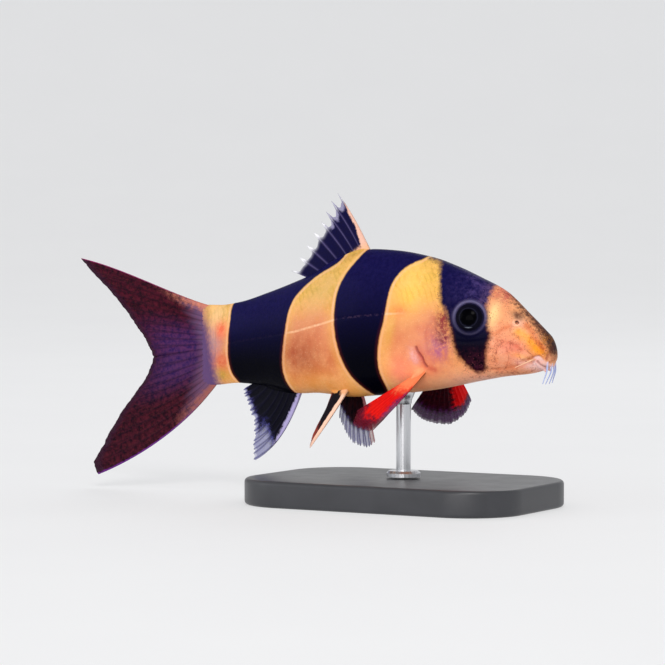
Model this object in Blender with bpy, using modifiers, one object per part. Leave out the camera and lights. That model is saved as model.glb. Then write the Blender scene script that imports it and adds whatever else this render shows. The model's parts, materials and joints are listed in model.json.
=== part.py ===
"""A young clown loach, modelled at life size as a still museum figure on a plain display stand.

Everything is drawn in millimetres from a few named sizes and written to the meshes in metres.
The fish swims towards +X with its belly down; the origin is the middle of the stand's underside.
A place on the fish is given by its station, the distance behind the tip of the snout along the
bent back, by its height above the swimming line, and by its distance left of the middle plane.
"""

import math

import bmesh
import bpy
from mathutils import Matrix, Vector

MM = 0.001
GAP = 0.3

# Height of the swimming line above the floor, and the station that stands over the origin.
SWIM_HEIGHT = 26.0
STAND_STATION = 25.0

# The back bends gently: how far each station points to the left of straight ahead, in degrees.
HEADING = ((0, 4), (20, 1.5), (34, -2), (48, -9), (60, -7), (72, 10), (85, 19))
SPINE_STEP = 0.5
SPINE_END = 90.0

# Outline of the body from the side, heights over the swimming line at each station.
BACK_LINE = (
    (0, -0.9), (1.4, 0.5), (4, 3.0), (8, 6.55), (12, 8.5), (16, 10.2), (20, 11.5), (26, 12.5),
    (30, 12.7), (35, 11.6), (40, 9.3), (44, 7.8), (50, 5.9), (56, 4.3), (60, 3.8), (62.5, 3.8),
)
BELLY_LINE = (
    (0, -4.3), (1.1, -4.45), (2.2, -5.2), (4, -5.65), (8, -6.15), (12, -6.9), (20, -8.5), (30, -9.6), (34, -9.9),
    (40, -9.5), (44, -9.7), (50, -8.8), (56, -8.5), (60, -8.9), (62.5, -9.2),
)
WIDEST_LINE = ((0, -2.9), (4, -2.7), (8, -1.8), (14, -0.6), (22, 0.2), (34, 0.4), (48, -1.4), (62.5, -2.5))
HALF_WIDTH = (
    (0, 1.75), (2, 2.15), (4, 2.75), (8, 3.75), (12, 4.5), (17, 5.0), (24, 5.2), (30, 5.0),
    (38, 4.2), (46, 3.2), (54, 2.1), (60, 1.3), (62.5, 0.8),
)
# Powers of the rounded sections: 2 is an ellipse, less is a keel, more is a flat.
UPPER_POWER = ((0, 2.2), (6, 1.9), (14, 1.95), (30, 1.8), (62.5, 1.9))
LOWER_POWER = ((0, 2.4), (10, 2.5), (24, 2.3), (44, 2.0), (62.5, 1.9))
SNOUT_ROUND = 1.1

# Edges where a person would part the fish: behind the gill cover, and before the tail stem.
GILL_EDGE = 18.6
GILL_BULGE = 1.5
GILL_COVER_RISE = 0.22
TAIL_EDGE = 43.0
STEM_END = 61.6

SECTION_POINTS = 36
HEAD_RINGS = 22
TRUNK_RINGS = 14
STEM_RINGS = 9

# The ball of the eye is a little flat, sunk in its socket, and looks forward and up.
EYE_STATION = 12.05
EYE_HEIGHT = 2.6
EYE_RADIUS = 2.35
EYE_FLATNESS = 0.8
EYE_SINK = 0.75
EYE_YAW = 10.0
EYE_PITCH = 8.0
EYE_RIM_RADIUS = 2.62
EYE_RIM_THICKNESS = 0.38
EYE_RIM_RISE = 0.64

NOSTRIL_STATION = 5.35
NOSTRIL_HEIGHT = 1.9
NOSTRIL_RADIUS = 0.46
NOSTRIL_THICKNESS = 0.25
NOSTRIL_PIT = (0.32, 0.32, 0.64)

# The mouth opens under the snout, in a bow from one corner round the front to the other.
MOUTH_STATION = 1.2
MOUTH_BOW = 0.9
MOUTH_SPREAD = 0.2
MOUTH_SPLIT = 0.15
MOUTH_DEPTH = 0.8
MOUTH_STEPS = 14
LIP_RADIUS = 0.42
LIP_OFFSET = 0.46
LIP_PINCH = 0.6
LIP_THINNING = 0.45
LIP_SINK = 0.11
LIP_OVERRUN = 1.04
CHIN_FEELER_SHARE = 0.26
CHIN_FEELER_RADIUS = 0.27
CHIN_FEELER_LENGTH = 0.75

# Fins are plates about a middle surface, with rays as ridges on the web between them.
WEB_HALF = 0.25
RAY_HALF = 0.37
EDGE_HALF = 0.13
TIP_TAPER = 0.84
FIN_ROWS = 8
ROW_CROWDING = 1.2
ROOT_BLEND = 0.3
SMALL_FIN_NOTCH = 0.05
TAIL_NOTCH = 0.012
ROOT_SUNK = 1.6
LEADING_BOW = 0.04
TAIL_ROOT_HALF = 0.85
TAIL_EDGE_HALF = 0.4

# The tail fin's two lobes meet along its middle, from the stem to the fork.
TAIL_ROOT = 60.9
TAIL_MIDDLE = -2.9
TAIL_FORK = (72.6, -4.7)

BARBEL_RADIUS = 0.27
BARBEL_STEPS = 8
BARBEL_TAPER = 0.6

STAND_LENGTH = 46.0
STAND_WIDTH = 30.0
STAND_THICKNESS = 4.0
STAND_CORNER = 9.0
STAND_BEVEL = 0.6
ROD_RADIUS = 1.1
ROD_FOOT_RADIUS = 2.6
ROD_FOOT_HEIGHT = 0.9
ROD_FOOT_BEVEL = 0.35
SHARP_ANGLE = 50


def curve_through(knots, x):
    """Height at x of a smooth curve through the knots that never overshoots them."""
    xs = [k[0] for k in knots]
    ys = [k[1] for k in knots]
    x = min(max(x, xs[0]), xs[-1])
    steps = [(ys[i + 1] - ys[i]) / (xs[i + 1] - xs[i]) for i in range(len(xs) - 1)]
    i = max(j for j in range(len(steps)) if xs[j] <= x)
    slopes = []
    for j in (i, i + 1):
        if j in (0, len(steps)):
            slopes.append(steps[min(j, len(steps) - 1)])
        elif steps[j - 1] * steps[j] <= 0:
            slopes.append(0.0)
        else:
            slopes.append(2 * steps[j - 1] * steps[j] / (steps[j - 1] + steps[j]))
    width = xs[i + 1] - xs[i]
    t = (x - xs[i]) / width
    rise = (1 + 2 * t) * (1 - t) ** 2 * ys[i] + t * t * (3 - 2 * t) * ys[i + 1]
    return rise + width * (t * (1 - t) ** 2 * slopes[0] - t * t * (1 - t) * slopes[1])


def heading(station):
    return math.radians(curve_through(HEADING, station))


def walk_spine():
    """Places of the spine every SPINE_STEP, with STAND_STATION over the origin."""
    places = [Vector((0, 0, SWIM_HEIGHT))]
    for i in range(int(SPINE_END / SPINE_STEP)):
        angle = heading((i + 0.5) * SPINE_STEP)
        places.append(places[-1] - SPINE_STEP * Vector((math.cos(angle), math.sin(angle), 0)))
    middle = places[round(STAND_STATION / SPINE_STEP)]
    shift = Vector((middle.x, middle.y, 0))
    return [place - shift for place in places]


SPINE = walk_spine()


def place(station, left, height):
    """World place, in millimetres, of a point given in the fish's own terms."""
    position = max(station, 0) / SPINE_STEP
    i = min(int(position), len(SPINE) - 2)
    spine = SPINE[i].lerp(SPINE[i + 1], position - i)
    angle = heading(max(station, 0))
    ahead = Vector((math.cos(angle), math.sin(angle), 0))
    leftward = Vector((-math.sin(angle), math.cos(angle), 0))
    return spine + leftward * left + Vector((0, 0, height)) + ahead * max(-station, 0)


def signed_power(value, power):
    return math.copysign(abs(value) ** power, value)


def smooth_step(low, high, x):
    t = min(max((x - low) / (high - low), 0), 1)
    return t * t * (3 - 2 * t)


def gill_edge(turn):
    """Station of the gill cover's rear edge, furthest back low on the flank."""
    around = math.cos(math.tau * turn)
    return GILL_EDGE + GILL_BULGE * (math.exp(-((around + 0.35) / 0.45) ** 2) - 0.6)


def gill_cover(station, turn):
    """How far the gill cover stands out of the flank, with a step at its rear edge."""
    edge = gill_edge(turn)
    if station > edge + GAP / 2:
        return 0.0
    around = math.cos(math.tau * turn)
    side = math.exp(-((around + 0.3) / 0.5) ** 2)
    return GILL_COVER_RISE * side * smooth_step(edge - 5.0, edge - 0.5, station)


def section(station, turn):
    """Distance left of the middle plane, and height, of the skin at a turn from the back."""
    rounding = math.sqrt(1 - (1 - min(station / SNOUT_ROUND, 1)) ** 2)
    widest = curve_through(WIDEST_LINE, station)
    across = math.sin(math.tau * turn)
    up = math.cos(math.tau * turn)
    if up >= 0:
        reach = curve_through(BACK_LINE, station) - widest
        power = 2 / curve_through(UPPER_POWER, station)
    else:
        reach = widest - curve_through(BELLY_LINE, station)
        power = 2 / curve_through(LOWER_POWER, station)
    half = curve_through(HALF_WIDTH, station) + gill_cover(station, turn)
    left = -rounding * half * signed_power(across, power)
    return left, widest + rounding * reach * signed_power(up, power)


def skin(station, turn):
    """World place on the skin. Turn 0 is the back, 0.25 the right flank and 0.5 the belly."""
    left, height = section(station, turn)
    return place(station, left, height)


def skin_normal(station, turn):
    step = 0.15
    behind = skin(station + step, turn) - skin(max(station - step, 0.02), turn)
    around = skin(station, turn + 0.01) - skin(station, turn - 0.01)
    return behind.cross(around).normalized()


def turn_at(station, height, side):
    """The turn at which the skin of that flank has this height. side is -1 for right, 1 for left."""
    low, high = 0.0, 0.5
    for _ in range(40):
        middle = (low + high) / 2
        if section(station, middle)[1] > height:
            low = middle
        else:
            high = middle
    return low if side < 0 else 1 - low


def skin_at(station, height, side):
    """Place and outward normal of the skin at this height on one flank."""
    turn = turn_at(station, height, side)
    return skin(station, turn), skin_normal(station, turn)


def material(name, colour, roughness, metallic=0.0):
    made = bpy.data.materials.new(name)
    made.use_nodes = True
    shader = made.node_tree.nodes["Principled BSDF"]
    shader.inputs["Base Color"].default_value = (*colour, 1)
    shader.inputs["Roughness"].default_value = roughness
    shader.inputs["Metallic"].default_value = metallic
    made.diffuse_color = (*colour, 1)
    return made


def mesh_from(name, corners, faces):
    """A mesh in metres from corners in millimetres, with its faces turned outwards."""
    mesh = bpy.data.meshes.new(name)
    mesh.from_pydata([corner * MM for corner in corners], [], faces)
    shape = bmesh.new()
    shape.from_mesh(mesh)
    bmesh.ops.recalc_face_normals(shape, faces=shape.faces)
    shape.to_mesh(mesh)
    shape.free()
    return mesh


def loft(name, rings, nose=None):
    """A closed skin over rings of points, drawn to the nose if there is one and flat at its ends."""
    count = len(rings[0])
    corners = [point for ring in rings for point in ring]
    faces = []
    for i in range(len(rings) - 1):
        for j in range(count):
            k = (j + 1) % count
            faces.append((i * count + j, i * count + k, (i + 1) * count + k, (i + 1) * count + j))
    for start, tip in ((0, nose), ((len(rings) - 1) * count, None)):
        corners.append(tip or sum(corners[start:start + count], Vector()) / count)
        for j in range(count):
            faces.append((start + j, start + (j + 1) % count, len(corners) - 1))
    return mesh_from(name, corners, faces)


def body_rings(front, rear, count, crowding=1.0, grow=0.0):
    """Rings of skin points between two edges, each a function of the turn that gives a station."""
    rings = []
    for i in range(count + 1):
        share = (i / count) ** crowding
        ring = []
        for j in range(SECTION_POINTS):
            turn = j / SECTION_POINTS
            station = front(turn) + (rear(turn) - front(turn)) * share
            ring.append(skin(station, turn) + skin_normal(station, turn) * grow)
        rings.append(ring)
    return rings


def head_core():
    rings = body_rings(lambda turn: 0.0, gill_edge, HEAD_RINGS, crowding=1.6)
    return loft("head_core", rings[1:], nose=skin(0.0, 0.0))


def trunk_mesh():
    rings = body_rings(lambda turn: gill_edge(turn) + GAP, lambda turn: TAIL_EDGE, TRUNK_RINGS)
    return loft("trunk", rings)


def tail_stem_mesh():
    rings = body_rings(lambda turn: TAIL_EDGE + GAP, lambda turn: STEM_END, STEM_RINGS)
    return loft("tail_stem", rings)


def grown_body_mesh():
    """The whole skin moved out by the gap, which shapes the root of whatever grows from it."""
    rings = body_rings(lambda turn: 0.0, lambda turn: STEM_END + GAP, 44, crowding=1.3, grow=GAP)
    return loft("grown_body", rings[1:], nose=place(-GAP, 0, WIDEST_LINE[0][1]))


def tube_mesh(name, path, radii, bevel_resolution=2):
    """A closed tube along a path, both in millimetres, from a curve with filled caps."""
    curve = bpy.data.curves.new(name, "CURVE")
    curve.dimensions = "3D"
    curve.bevel_depth = MM
    curve.bevel_resolution = bevel_resolution
    curve.use_fill_caps = True
    spline = curve.splines.new("POLY")
    spline.points.add(len(path) - 1)
    for point, where, radius in zip(spline.points, path, radii):
        point.co = (*(where * MM), 1)
        point.radius = radius
    guide = bpy.data.objects.new(name, curve)
    bpy.context.scene.collection.objects.link(guide)
    mesh = evaluated_mesh(guide)
    bpy.data.objects.remove(guide)
    shape = bmesh.new()
    shape.from_mesh(mesh)
    bmesh.ops.remove_doubles(shape, verts=shape.verts, dist=1e-6)
    bmesh.ops.recalc_face_normals(shape, faces=shape.faces)
    shape.to_mesh(mesh)
    shape.free()
    return mesh


def evaluated_mesh(made):
    bpy.context.view_layer.update()
    return bpy.data.meshes.new_from_object(made.evaluated_get(bpy.context.evaluated_depsgraph_get()))


def path_through(points, count):
    """Evenly shared places along a smooth curve through the given ones."""
    last = len(points) - 1
    axes = [[(i, point[axis]) for i, point in enumerate(points)] for axis in range(3)]
    return [Vector([curve_through(axis, last * i / (count - 1)) for axis in axes]) for i in range(count)]


def ball_mesh(name, centre, radii, turned, segments=20, rings=12):
    """A ball with three radii, turned by a rotation, about its centre, all in millimetres."""
    shape = bmesh.new()
    bmesh.ops.create_uvsphere(shape, u_segments=segments, v_segments=rings, radius=MM)
    matrix = Matrix.Translation(centre * MM) @ turned.to_4x4() @ Matrix.Diagonal((*radii, 1))
    bmesh.ops.transform(shape, matrix=matrix, verts=shape.verts)
    mesh = bpy.data.meshes.new(name)
    shape.to_mesh(mesh)
    shape.free()
    return mesh


def rim_mesh(name, centre, axis, radius, thickness, around=24, sides=8):
    """A closed ring whose hole lies along the axis, as round an eye or a nostril."""
    bpy.ops.mesh.primitive_torus_add(
        major_segments=around, minor_segments=sides, major_radius=radius * MM, minor_radius=thickness * MM,
    )
    guide = bpy.context.object
    mesh = guide.data
    mesh.transform(Matrix.Translation(centre * MM) @ axis.to_track_quat("Z", "Y").to_matrix().to_4x4())
    bpy.data.objects.remove(guide)
    return mesh


def keep_largest(mesh):
    """Drops loose scraps and sealed bubbles that a cut or a union can leave."""
    shape = bmesh.new()
    shape.from_mesh(mesh)
    waiting = set(shape.verts)
    islands = []
    while waiting:
        island = set()
        front = [waiting.pop()]
        while front:
            vertex = front.pop()
            island.add(vertex)
            for edge in vertex.link_edges:
                other = edge.other_vert(vertex)
                if other in waiting:
                    waiting.remove(other)
                    front.append(other)
        islands.append(island)
    islands.sort(key=len)
    for island in islands[:-1]:
        bmesh.ops.delete(shape, geom=list(island), context="VERTS")
    shape.to_mesh(mesh)
    shape.free()


def combined(name, core, others, operation):
    """The core mesh joined with, or cut by, a list of closed meshes in one Boolean."""
    crowd = bpy.data.collections.new(name + "_pieces")
    bpy.context.scene.collection.children.link(crowd)
    for other in others:
        crowd.objects.link(bpy.data.objects.new(other.name, other))
    target = bpy.data.objects.new(name, core)
    bpy.context.scene.collection.objects.link(target)
    boolean = target.modifiers.new("boolean", "BOOLEAN")
    boolean.operation = operation
    boolean.operand_type = "COLLECTION"
    boolean.collection = crowd
    mesh = evaluated_mesh(target)
    mesh.name = name
    bpy.data.objects.remove(target)
    for piece in list(crowd.objects):
        bpy.data.objects.remove(piece)
    bpy.data.collections.remove(crowd)
    keep_largest(mesh)
    return mesh


def eye_pose(side):
    """Centre of the eyeball and the way it looks. side is -1 for the right eye, 1 for the left."""
    point, _ = skin_at(EYE_STATION, EYE_HEIGHT, side)
    yaw = heading(EYE_STATION) + side * math.radians(90 - EYE_YAW)
    pitch = math.radians(EYE_PITCH)
    looks = Vector((math.cos(yaw) * math.cos(pitch), math.sin(yaw) * math.cos(pitch), math.sin(pitch)))
    return point - looks * EYE_SINK, looks


def eyeball_mesh(name, side, grow=0.0):
    centre, looks = eye_pose(side)
    turned = looks.to_track_quat("Z", "Y").to_matrix()
    radius = EYE_RADIUS + grow
    return ball_mesh(name, centre, (radius, radius, EYE_RADIUS * EYE_FLATNESS + grow), turned)


def mouth_frame(share, offset=0.0):
    """Place, outward normal and rearward direction on the line of the mouth; share runs from -1 to 1."""
    station = MOUTH_STATION + MOUTH_BOW * share * share + offset * (1 - LIP_PINCH * share * share)
    turn = 0.5 + MOUTH_SPREAD * share
    normal = skin_normal(station, turn)
    along = skin(station + 0.1, turn) - skin(station - 0.1, turn)
    return skin(station, turn), normal, along.normalized()


def mouth_slit_mesh():
    """A thin wedge that follows the bow of the mouth into the head."""
    rings = []
    for i in range(MOUTH_STEPS + 1):
        point, normal, along = mouth_frame(-1 + 2 * i / MOUTH_STEPS)
        rings.append([
            point - normal * MOUTH_DEPTH,
            point - along * MOUTH_SPLIT,
            point - along * MOUTH_SPLIT + normal,
            point + along * MOUTH_SPLIT + normal,
            point + along * MOUTH_SPLIT,
        ])
    return loft("mouth_slit", rings)


def lip_mesh(name, offset):
    path = []
    radii = []
    for i in range(MOUTH_STEPS + 1):
        share = LIP_OVERRUN * (2 * i / MOUTH_STEPS - 1)
        point, normal, _ = mouth_frame(share, offset)
        path.append(point - normal * LIP_SINK)
        radii.append(LIP_RADIUS * (1 - LIP_THINNING * abs(share) ** 3))
    return tube_mesh(name, path, radii)


def chin_feeler_mesh(side):
    """One of the two stubs that hang from the lower lip."""
    point, normal, _ = mouth_frame(CHIN_FEELER_SHARE * side, LIP_OFFSET)
    path = [point + normal * CHIN_FEELER_LENGTH * share for share in (0, 0.7, 1)]
    return tube_mesh("chin_feeler", path, [CHIN_FEELER_RADIUS * share for share in (1, 0.8, 0.4)])


def head_mesh():
    """The head with its lips, nostril tubes and the raised skin round its eyes."""
    added = [lip_mesh("upper_lip", -LIP_OFFSET), lip_mesh("lower_lip", LIP_OFFSET)]
    removed = [mouth_slit_mesh()]
    for side in (-1, 1):
        added.append(chin_feeler_mesh(side))
        centre, looks = eye_pose(side)
        rim_centre = centre + looks * EYE_RIM_RISE
        added.append(rim_mesh("eye_rim", rim_centre, looks, EYE_RIM_RADIUS, EYE_RIM_THICKNESS, 28, 8))
        removed.append(eyeball_mesh("eye_socket", side, GAP))
        point, normal = skin_at(NOSTRIL_STATION, NOSTRIL_HEIGHT, side)
        added.append(rim_mesh("nostril_rim", point, normal, NOSTRIL_RADIUS, NOSTRIL_THICKNESS, 14, 6))
        inwards = normal.to_track_quat("Z", "Y").to_matrix()
        removed.append(ball_mesh("nostril_pit", point, NOSTRIL_PIT, inwards, 10, 8))
    joined = combined("head_joined", head_core(), added, "UNION")
    return combined("head", joined, removed, "DIFFERENCE")


def plate_mesh(name, columns, rows, middle, half_thickness):
    """A closed plate about the middle surface, split into triangles alike on both faces."""
    grid = [[middle(column, row) for row in range(rows + 1)] for column in range(columns)]
    corners = []
    for side in (1, -1):
        for column in range(columns):
            before = max(column - 1, 0)
            after = min(column + 1, columns - 1)
            for row in range(rows + 1):
                low = max(row - 1, 0)
                high = min(row + 1, rows)
                across = grid[after][row] - grid[before][row]
                normal = across.cross(grid[column][high] - grid[column][low]).normalized()
                corners.append(grid[column][row] + normal * (side * half_thickness(column, row)))
    span = rows + 1
    back = columns * span
    faces = []
    for column in range(columns - 1):
        for row in range(rows):
            a = column * span + row
            b = a + span
            faces += [(a, b, b + 1), (a, b + 1, a + 1)]
            faces += [(back + b, back + a, back + b + 1), (back + b + 1, back + a, back + a + 1)]
    edge = list(range(span))
    edge += [column * span + rows for column in range(1, columns)]
    edge += [(columns - 1) * span + row for row in range(rows - 1, -1, -1)]
    edge += [column * span for column in range(columns - 2, 0, -1)]
    for here, there in zip(edge, edge[1:] + edge[:1]):
        faces += [(here, there, back + there), (here, back + there, back + here)]
    return mesh_from(name, corners, faces)


def fan_mesh(name, rays, root, tips, bow, fan_place, notch=SMALL_FIN_NOTCH, cup=0.0, root_half=None):
    """A fin of rays that leave a root line and end on a smooth line of tips.

    root and tips are lists of (share, point) from the first ray to the last, and bow(share) gives two
    offsets that bend a ray, one near its root and one near its tip. fan_place turns such a point,
    with a bulge out of the fin's plane, into a place.
    The web ends short of the rays by the notch, a share of their length, and root_half(share)
    is half the thickness at the root, where it isn't the ray's own.
    """
    columns = 2 * rays - 1

    def along(line, share):
        axes = range(len(line[0][1]))
        return Vector([curve_through([(knot[0], knot[1][axis]) for knot in line], share) for axis in axes])

    def middle(column, row):
        share = column / (columns - 1)
        reach = 1 - (1 - row / FIN_ROWS) ** ROW_CROWDING
        start = along(root, share)
        end = along(tips, share)
        if column % 2:
            end = start.lerp(end, 1 - notch)
        near, far = bow(share)
        rest = 1 - reach
        point = start.lerp(end, reach) + near * (3 * reach * rest ** 2) + far * (3 * reach ** 2 * rest)
        return fan_place(point, cup * math.sin(math.pi * share) * math.sin(math.pi * reach * 0.6))

    def half_thickness(column, row):
        reach = row / FIN_ROWS
        half = WEB_HALF if column % 2 else RAY_HALF
        if root_half:
            half += (root_half(column / (columns - 1)) - half) * (1 - smooth_step(0, ROOT_BLEND, reach))
        return half + (EDGE_HALF - half) * smooth_step(TIP_TAPER, 1, reach)

    return plate_mesh(name, columns, FIN_ROWS, middle, half_thickness)


def upright_place(point, bulge):
    return place(point.x, bulge, point.y)


def dorsal_fin_mesh():
    root = ((0, (30.4, 11.6)), (1, (41.4, 7.2)))
    tips = (
        (0, (36.3, 20.5)), (0.16, (36.9, 19.9)), (0.34, (37.5, 18.0)), (0.5, (38.4, 16.2)),
        (0.68, (39.8, 14.4)), (0.84, (41.1, 12.5)), (1, (43.2, 9.1)),
    )

    def bow(share):
        return (Vector((-0.4, 0.33)) * (1 - share),) * 2

    return fan_mesh("dorsal_fin", 10, root, tips, bow, upright_place)


def anal_fin_mesh():
    root = ((0, (43.3, -8.9)), (1, (51.0, -7.4)))
    tips = (
        (0, (53.2, -20.7)), (0.14, (53.7, -19.2)), (0.32, (53.2, -17.0)), (0.5, (53.3, -14.8)),
        (0.68, (54.3, -12.4)), (0.84, (55.2, -10.7)), (1, (55.3, -9.4)),
    )

    def bow(share):
        return (Vector((-1.1, -1.85)) * (1 - share),) * 2

    return fan_mesh("anal_fin", 8, root, tips, bow, upright_place)


def caudal_upper_mesh():
    root = ((0, (TAIL_ROOT, 3.4)), (1, (TAIL_ROOT, TAIL_MIDDLE + GAP / 2)))
    tips = (
        (0, (85.0, 11.1)), (0.12, (84.1, 9.9)), (0.28, (81.2, 7.0)), (0.45, (78.3, 3.8)),
        (0.6, (76.2, 1.0)), (0.8, (74.2, -1.8)), (1, (TAIL_FORK[0], TAIL_FORK[1] + GAP / 2)),
    )

    def bow(share):
        return Vector((0, -1.3)) * (1 - share), Vector((0, 0.8)) * (1 - share)

    def root_half(share):
        return TAIL_EDGE_HALF + (TAIL_ROOT_HALF - TAIL_EDGE_HALF) * math.sqrt(share)

    return fan_mesh("caudal_fin_upper", 9, root, tips, bow, upright_place, TAIL_NOTCH, 0.0, root_half)


def caudal_lower_mesh():
    root = ((0, (TAIL_ROOT, TAIL_MIDDLE - GAP / 2)), (1, (TAIL_ROOT, -9.0)))
    tips = (
        (0, (TAIL_FORK[0], TAIL_FORK[1] - GAP / 2)), (0.16, (73.7, -7.6)), (0.32, (75.7, -10.4)),
        (0.5, (78.2, -13.7)), (0.64, (80.0, -16.5)), (0.78, (81.7, -19.7)), (0.9, (83.0, -22.3)),
        (1, (82.1, -23.9)),
    )

    def bow(share):
        return (Vector((-0.27, -2.0)) * share,) * 2

    def root_half(share):
        return TAIL_EDGE_HALF + (TAIL_ROOT_HALF - TAIL_EDGE_HALF) * math.sqrt(1 - share)

    return fan_mesh("caudal_fin_lower", 9, root, tips, bow, upright_place, TAIL_NOTCH, 0.0, root_half)


def paired_fin_mesh(name, rays, centre, base, tips, cup):
    """A fin at one flank. centre is (station, left, height) of the root's middle, base the root line
    from the first ray to the last, and tips are (share, offset) from the centre, all as
    (backward, left, up)."""
    centre = Vector(centre)
    base = Vector(base)
    tips = [(share, centre + Vector(offset)) for share, offset in tips]
    lead = tips[0][1] - centre
    trail = tips[-1][1] - centre
    normal = lead.cross(trail).normalized()
    inwards = (lead.normalized() + trail.normalized()).normalized() * -ROOT_SUNK
    root = ((0, centre - base / 2 + inwards), (1, centre + base / 2 + inwards))

    def bow(share):
        return ((lead - trail) * LEADING_BOW * (1 - share),) * 2

    def fan_place(point, bulge):
        point = point + normal * bulge
        return place(point.x, point.y, point.z)

    return fan_mesh(name, rays, root, tips, bow, fan_place, cup=cup)


def pectoral_right_mesh():
    tips = (
        (0, (3.6, -5.9, -7.2)), (0.2, (4.7, -6.0, -8.4)), (0.45, (6.8, -5.2, -8.5)),
        (0.75, (8.8, -4.0, -7.3)), (1, (8.9, -2.7, -5.5)),
    )
    return paired_fin_mesh("pectoral_fin_right", 10, (20.3, -4.1, -6.0), (1.4, 0.2, -0.9), tips, 0.5)


def pectoral_left_mesh():
    tips = (
        (0, (-0.9, 8.0, -4.6)), (0.2, (-0.1, 7.6, -7.1)), (0.45, (2.5, 6.3, -8.8)),
        (0.75, (5.9, 4.3, -8.0)), (1, (7.3, 3.0, -6.0)),
    )
    return paired_fin_mesh("pectoral_fin_left", 10, (20.3, 4.1, -6.0), (1.4, -0.2, -0.9), tips, -0.5)


def pelvic_right_mesh():
    tips = (
        (0, (2.3, -4.2, -8.3)), (0.2, (2.9, -3.4, -7.9)), (0.5, (3.2, -1.7, -6.7)), (1, (2.9, 0.4, -4.4)),
    )
    return paired_fin_mesh("pelvic_fin_right", 7, (35.2, -1.9, -9.3), (2.4, 0.5, 0.1), tips, 0.3)


def pelvic_left_mesh():
    tips = (
        (0, (-1.4, 4.6, -7.9)), (0.2, (-0.6, 3.9, -8.9)), (0.5, (0.6, 1.6, -8.1)), (1, (1.4, -1.6, -3.8)),
    )
    return paired_fin_mesh("pelvic_fin_left", 7, (35.2, 1.9, -9.3), (2.4, -0.5, 0.1), tips, -0.3)


def barbel_mesh(name, points):
    """A feeler that thins to its tip, through points given as (station, left, height)."""
    path = path_through([place(*point) for point in points], BARBEL_STEPS + 1)
    shares = [i / BARBEL_STEPS for i in range(BARBEL_STEPS + 1)]
    return tube_mesh(name, path, [BARBEL_RADIUS * (1 - BARBEL_TAPER * share ** 1.5) for share in shares])


def barbels():
    """Three pairs: two at the tip of the snout and one at the corners of the mouth."""
    made = {}
    for side, word in ((-1, "right"), (1, "left")):
        inner = ((0.5, 0.45 * side, -3.7), (0.6, 0.55 * side, -5.1), (1.5, 0.75 * side, -7.6))
        outer = ((0.85, 1.3 * side, -3.3), (0.8, 1.7 * side, -4.9), (1.4, 1.9 * side, -7.0))
        corner = ((2.5, 1.3 * side, -3.4), (2.7, 2.85 * side, -3.5), (5.0, 3.6 * side, -4.6))
        for place_word, points in (("inner", inner), ("outer", outer), ("corner", corner)):
            name = f"barbel_{place_word}_{word}"
            made[name] = barbel_mesh(name, points)
    return made


def stand_base_mesh():
    shape = bmesh.new()
    bmesh.ops.create_cube(shape, size=MM)
    size = Vector((STAND_LENGTH, STAND_WIDTH, STAND_THICKNESS))
    bmesh.ops.scale(shape, vec=size, verts=shape.verts)
    bmesh.ops.translate(shape, vec=(0, 0, STAND_THICKNESS / 2 * MM), verts=shape.verts)
    upright = [edge for edge in shape.edges if abs(edge.verts[0].co.z - edge.verts[1].co.z) > MM]
    bmesh.ops.bevel(shape, geom=upright, offset=STAND_CORNER * MM, segments=8, profile=0.5, affect="EDGES")
    level = [face for face in shape.faces if abs(face.normal.z) > 0.9]
    rims = list({edge for face in level for edge in face.edges})
    bmesh.ops.bevel(shape, geom=rims, offset=STAND_BEVEL * MM, segments=2, profile=0.5, affect="EDGES")
    mesh = bpy.data.meshes.new("stand_base")
    shape.to_mesh(mesh)
    shape.free()
    return mesh


def rod_core_mesh():
    """A plain turned rod with a low round foot, still running up into the fish."""
    foot = STAND_THICKNESS + GAP
    shoulder = foot + ROD_FOOT_HEIGHT
    profile = (
        (0, SWIM_HEIGHT), (ROD_RADIUS, SWIM_HEIGHT), (ROD_RADIUS, shoulder),
        (ROD_FOOT_RADIUS - ROD_FOOT_BEVEL, shoulder), (ROD_FOOT_RADIUS, shoulder - ROD_FOOT_BEVEL),
        (ROD_FOOT_RADIUS, foot), (0, foot),
    )
    line = bpy.data.meshes.new("rod_profile")
    edges = [(i, i + 1) for i in range(len(profile) - 1)]
    line.from_pydata([(x * MM, 0, z * MM) for x, z in profile], edges, [])
    guide = bpy.data.objects.new("rod_profile", line)
    bpy.context.scene.collection.objects.link(guide)
    screw = guide.modifiers.new("turn", "SCREW")
    screw.steps = screw.render_steps = 24
    screw.use_merge_vertices = True
    screw.merge_threshold = 1e-5
    mesh = evaluated_mesh(guide)
    bpy.data.objects.remove(guide)
    return mesh


def clear_scene():
    for old in list(bpy.data.objects):
        bpy.data.objects.remove(old, do_unlink=True)
    for old in list(bpy.data.collections):
        bpy.data.collections.remove(old)


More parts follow.
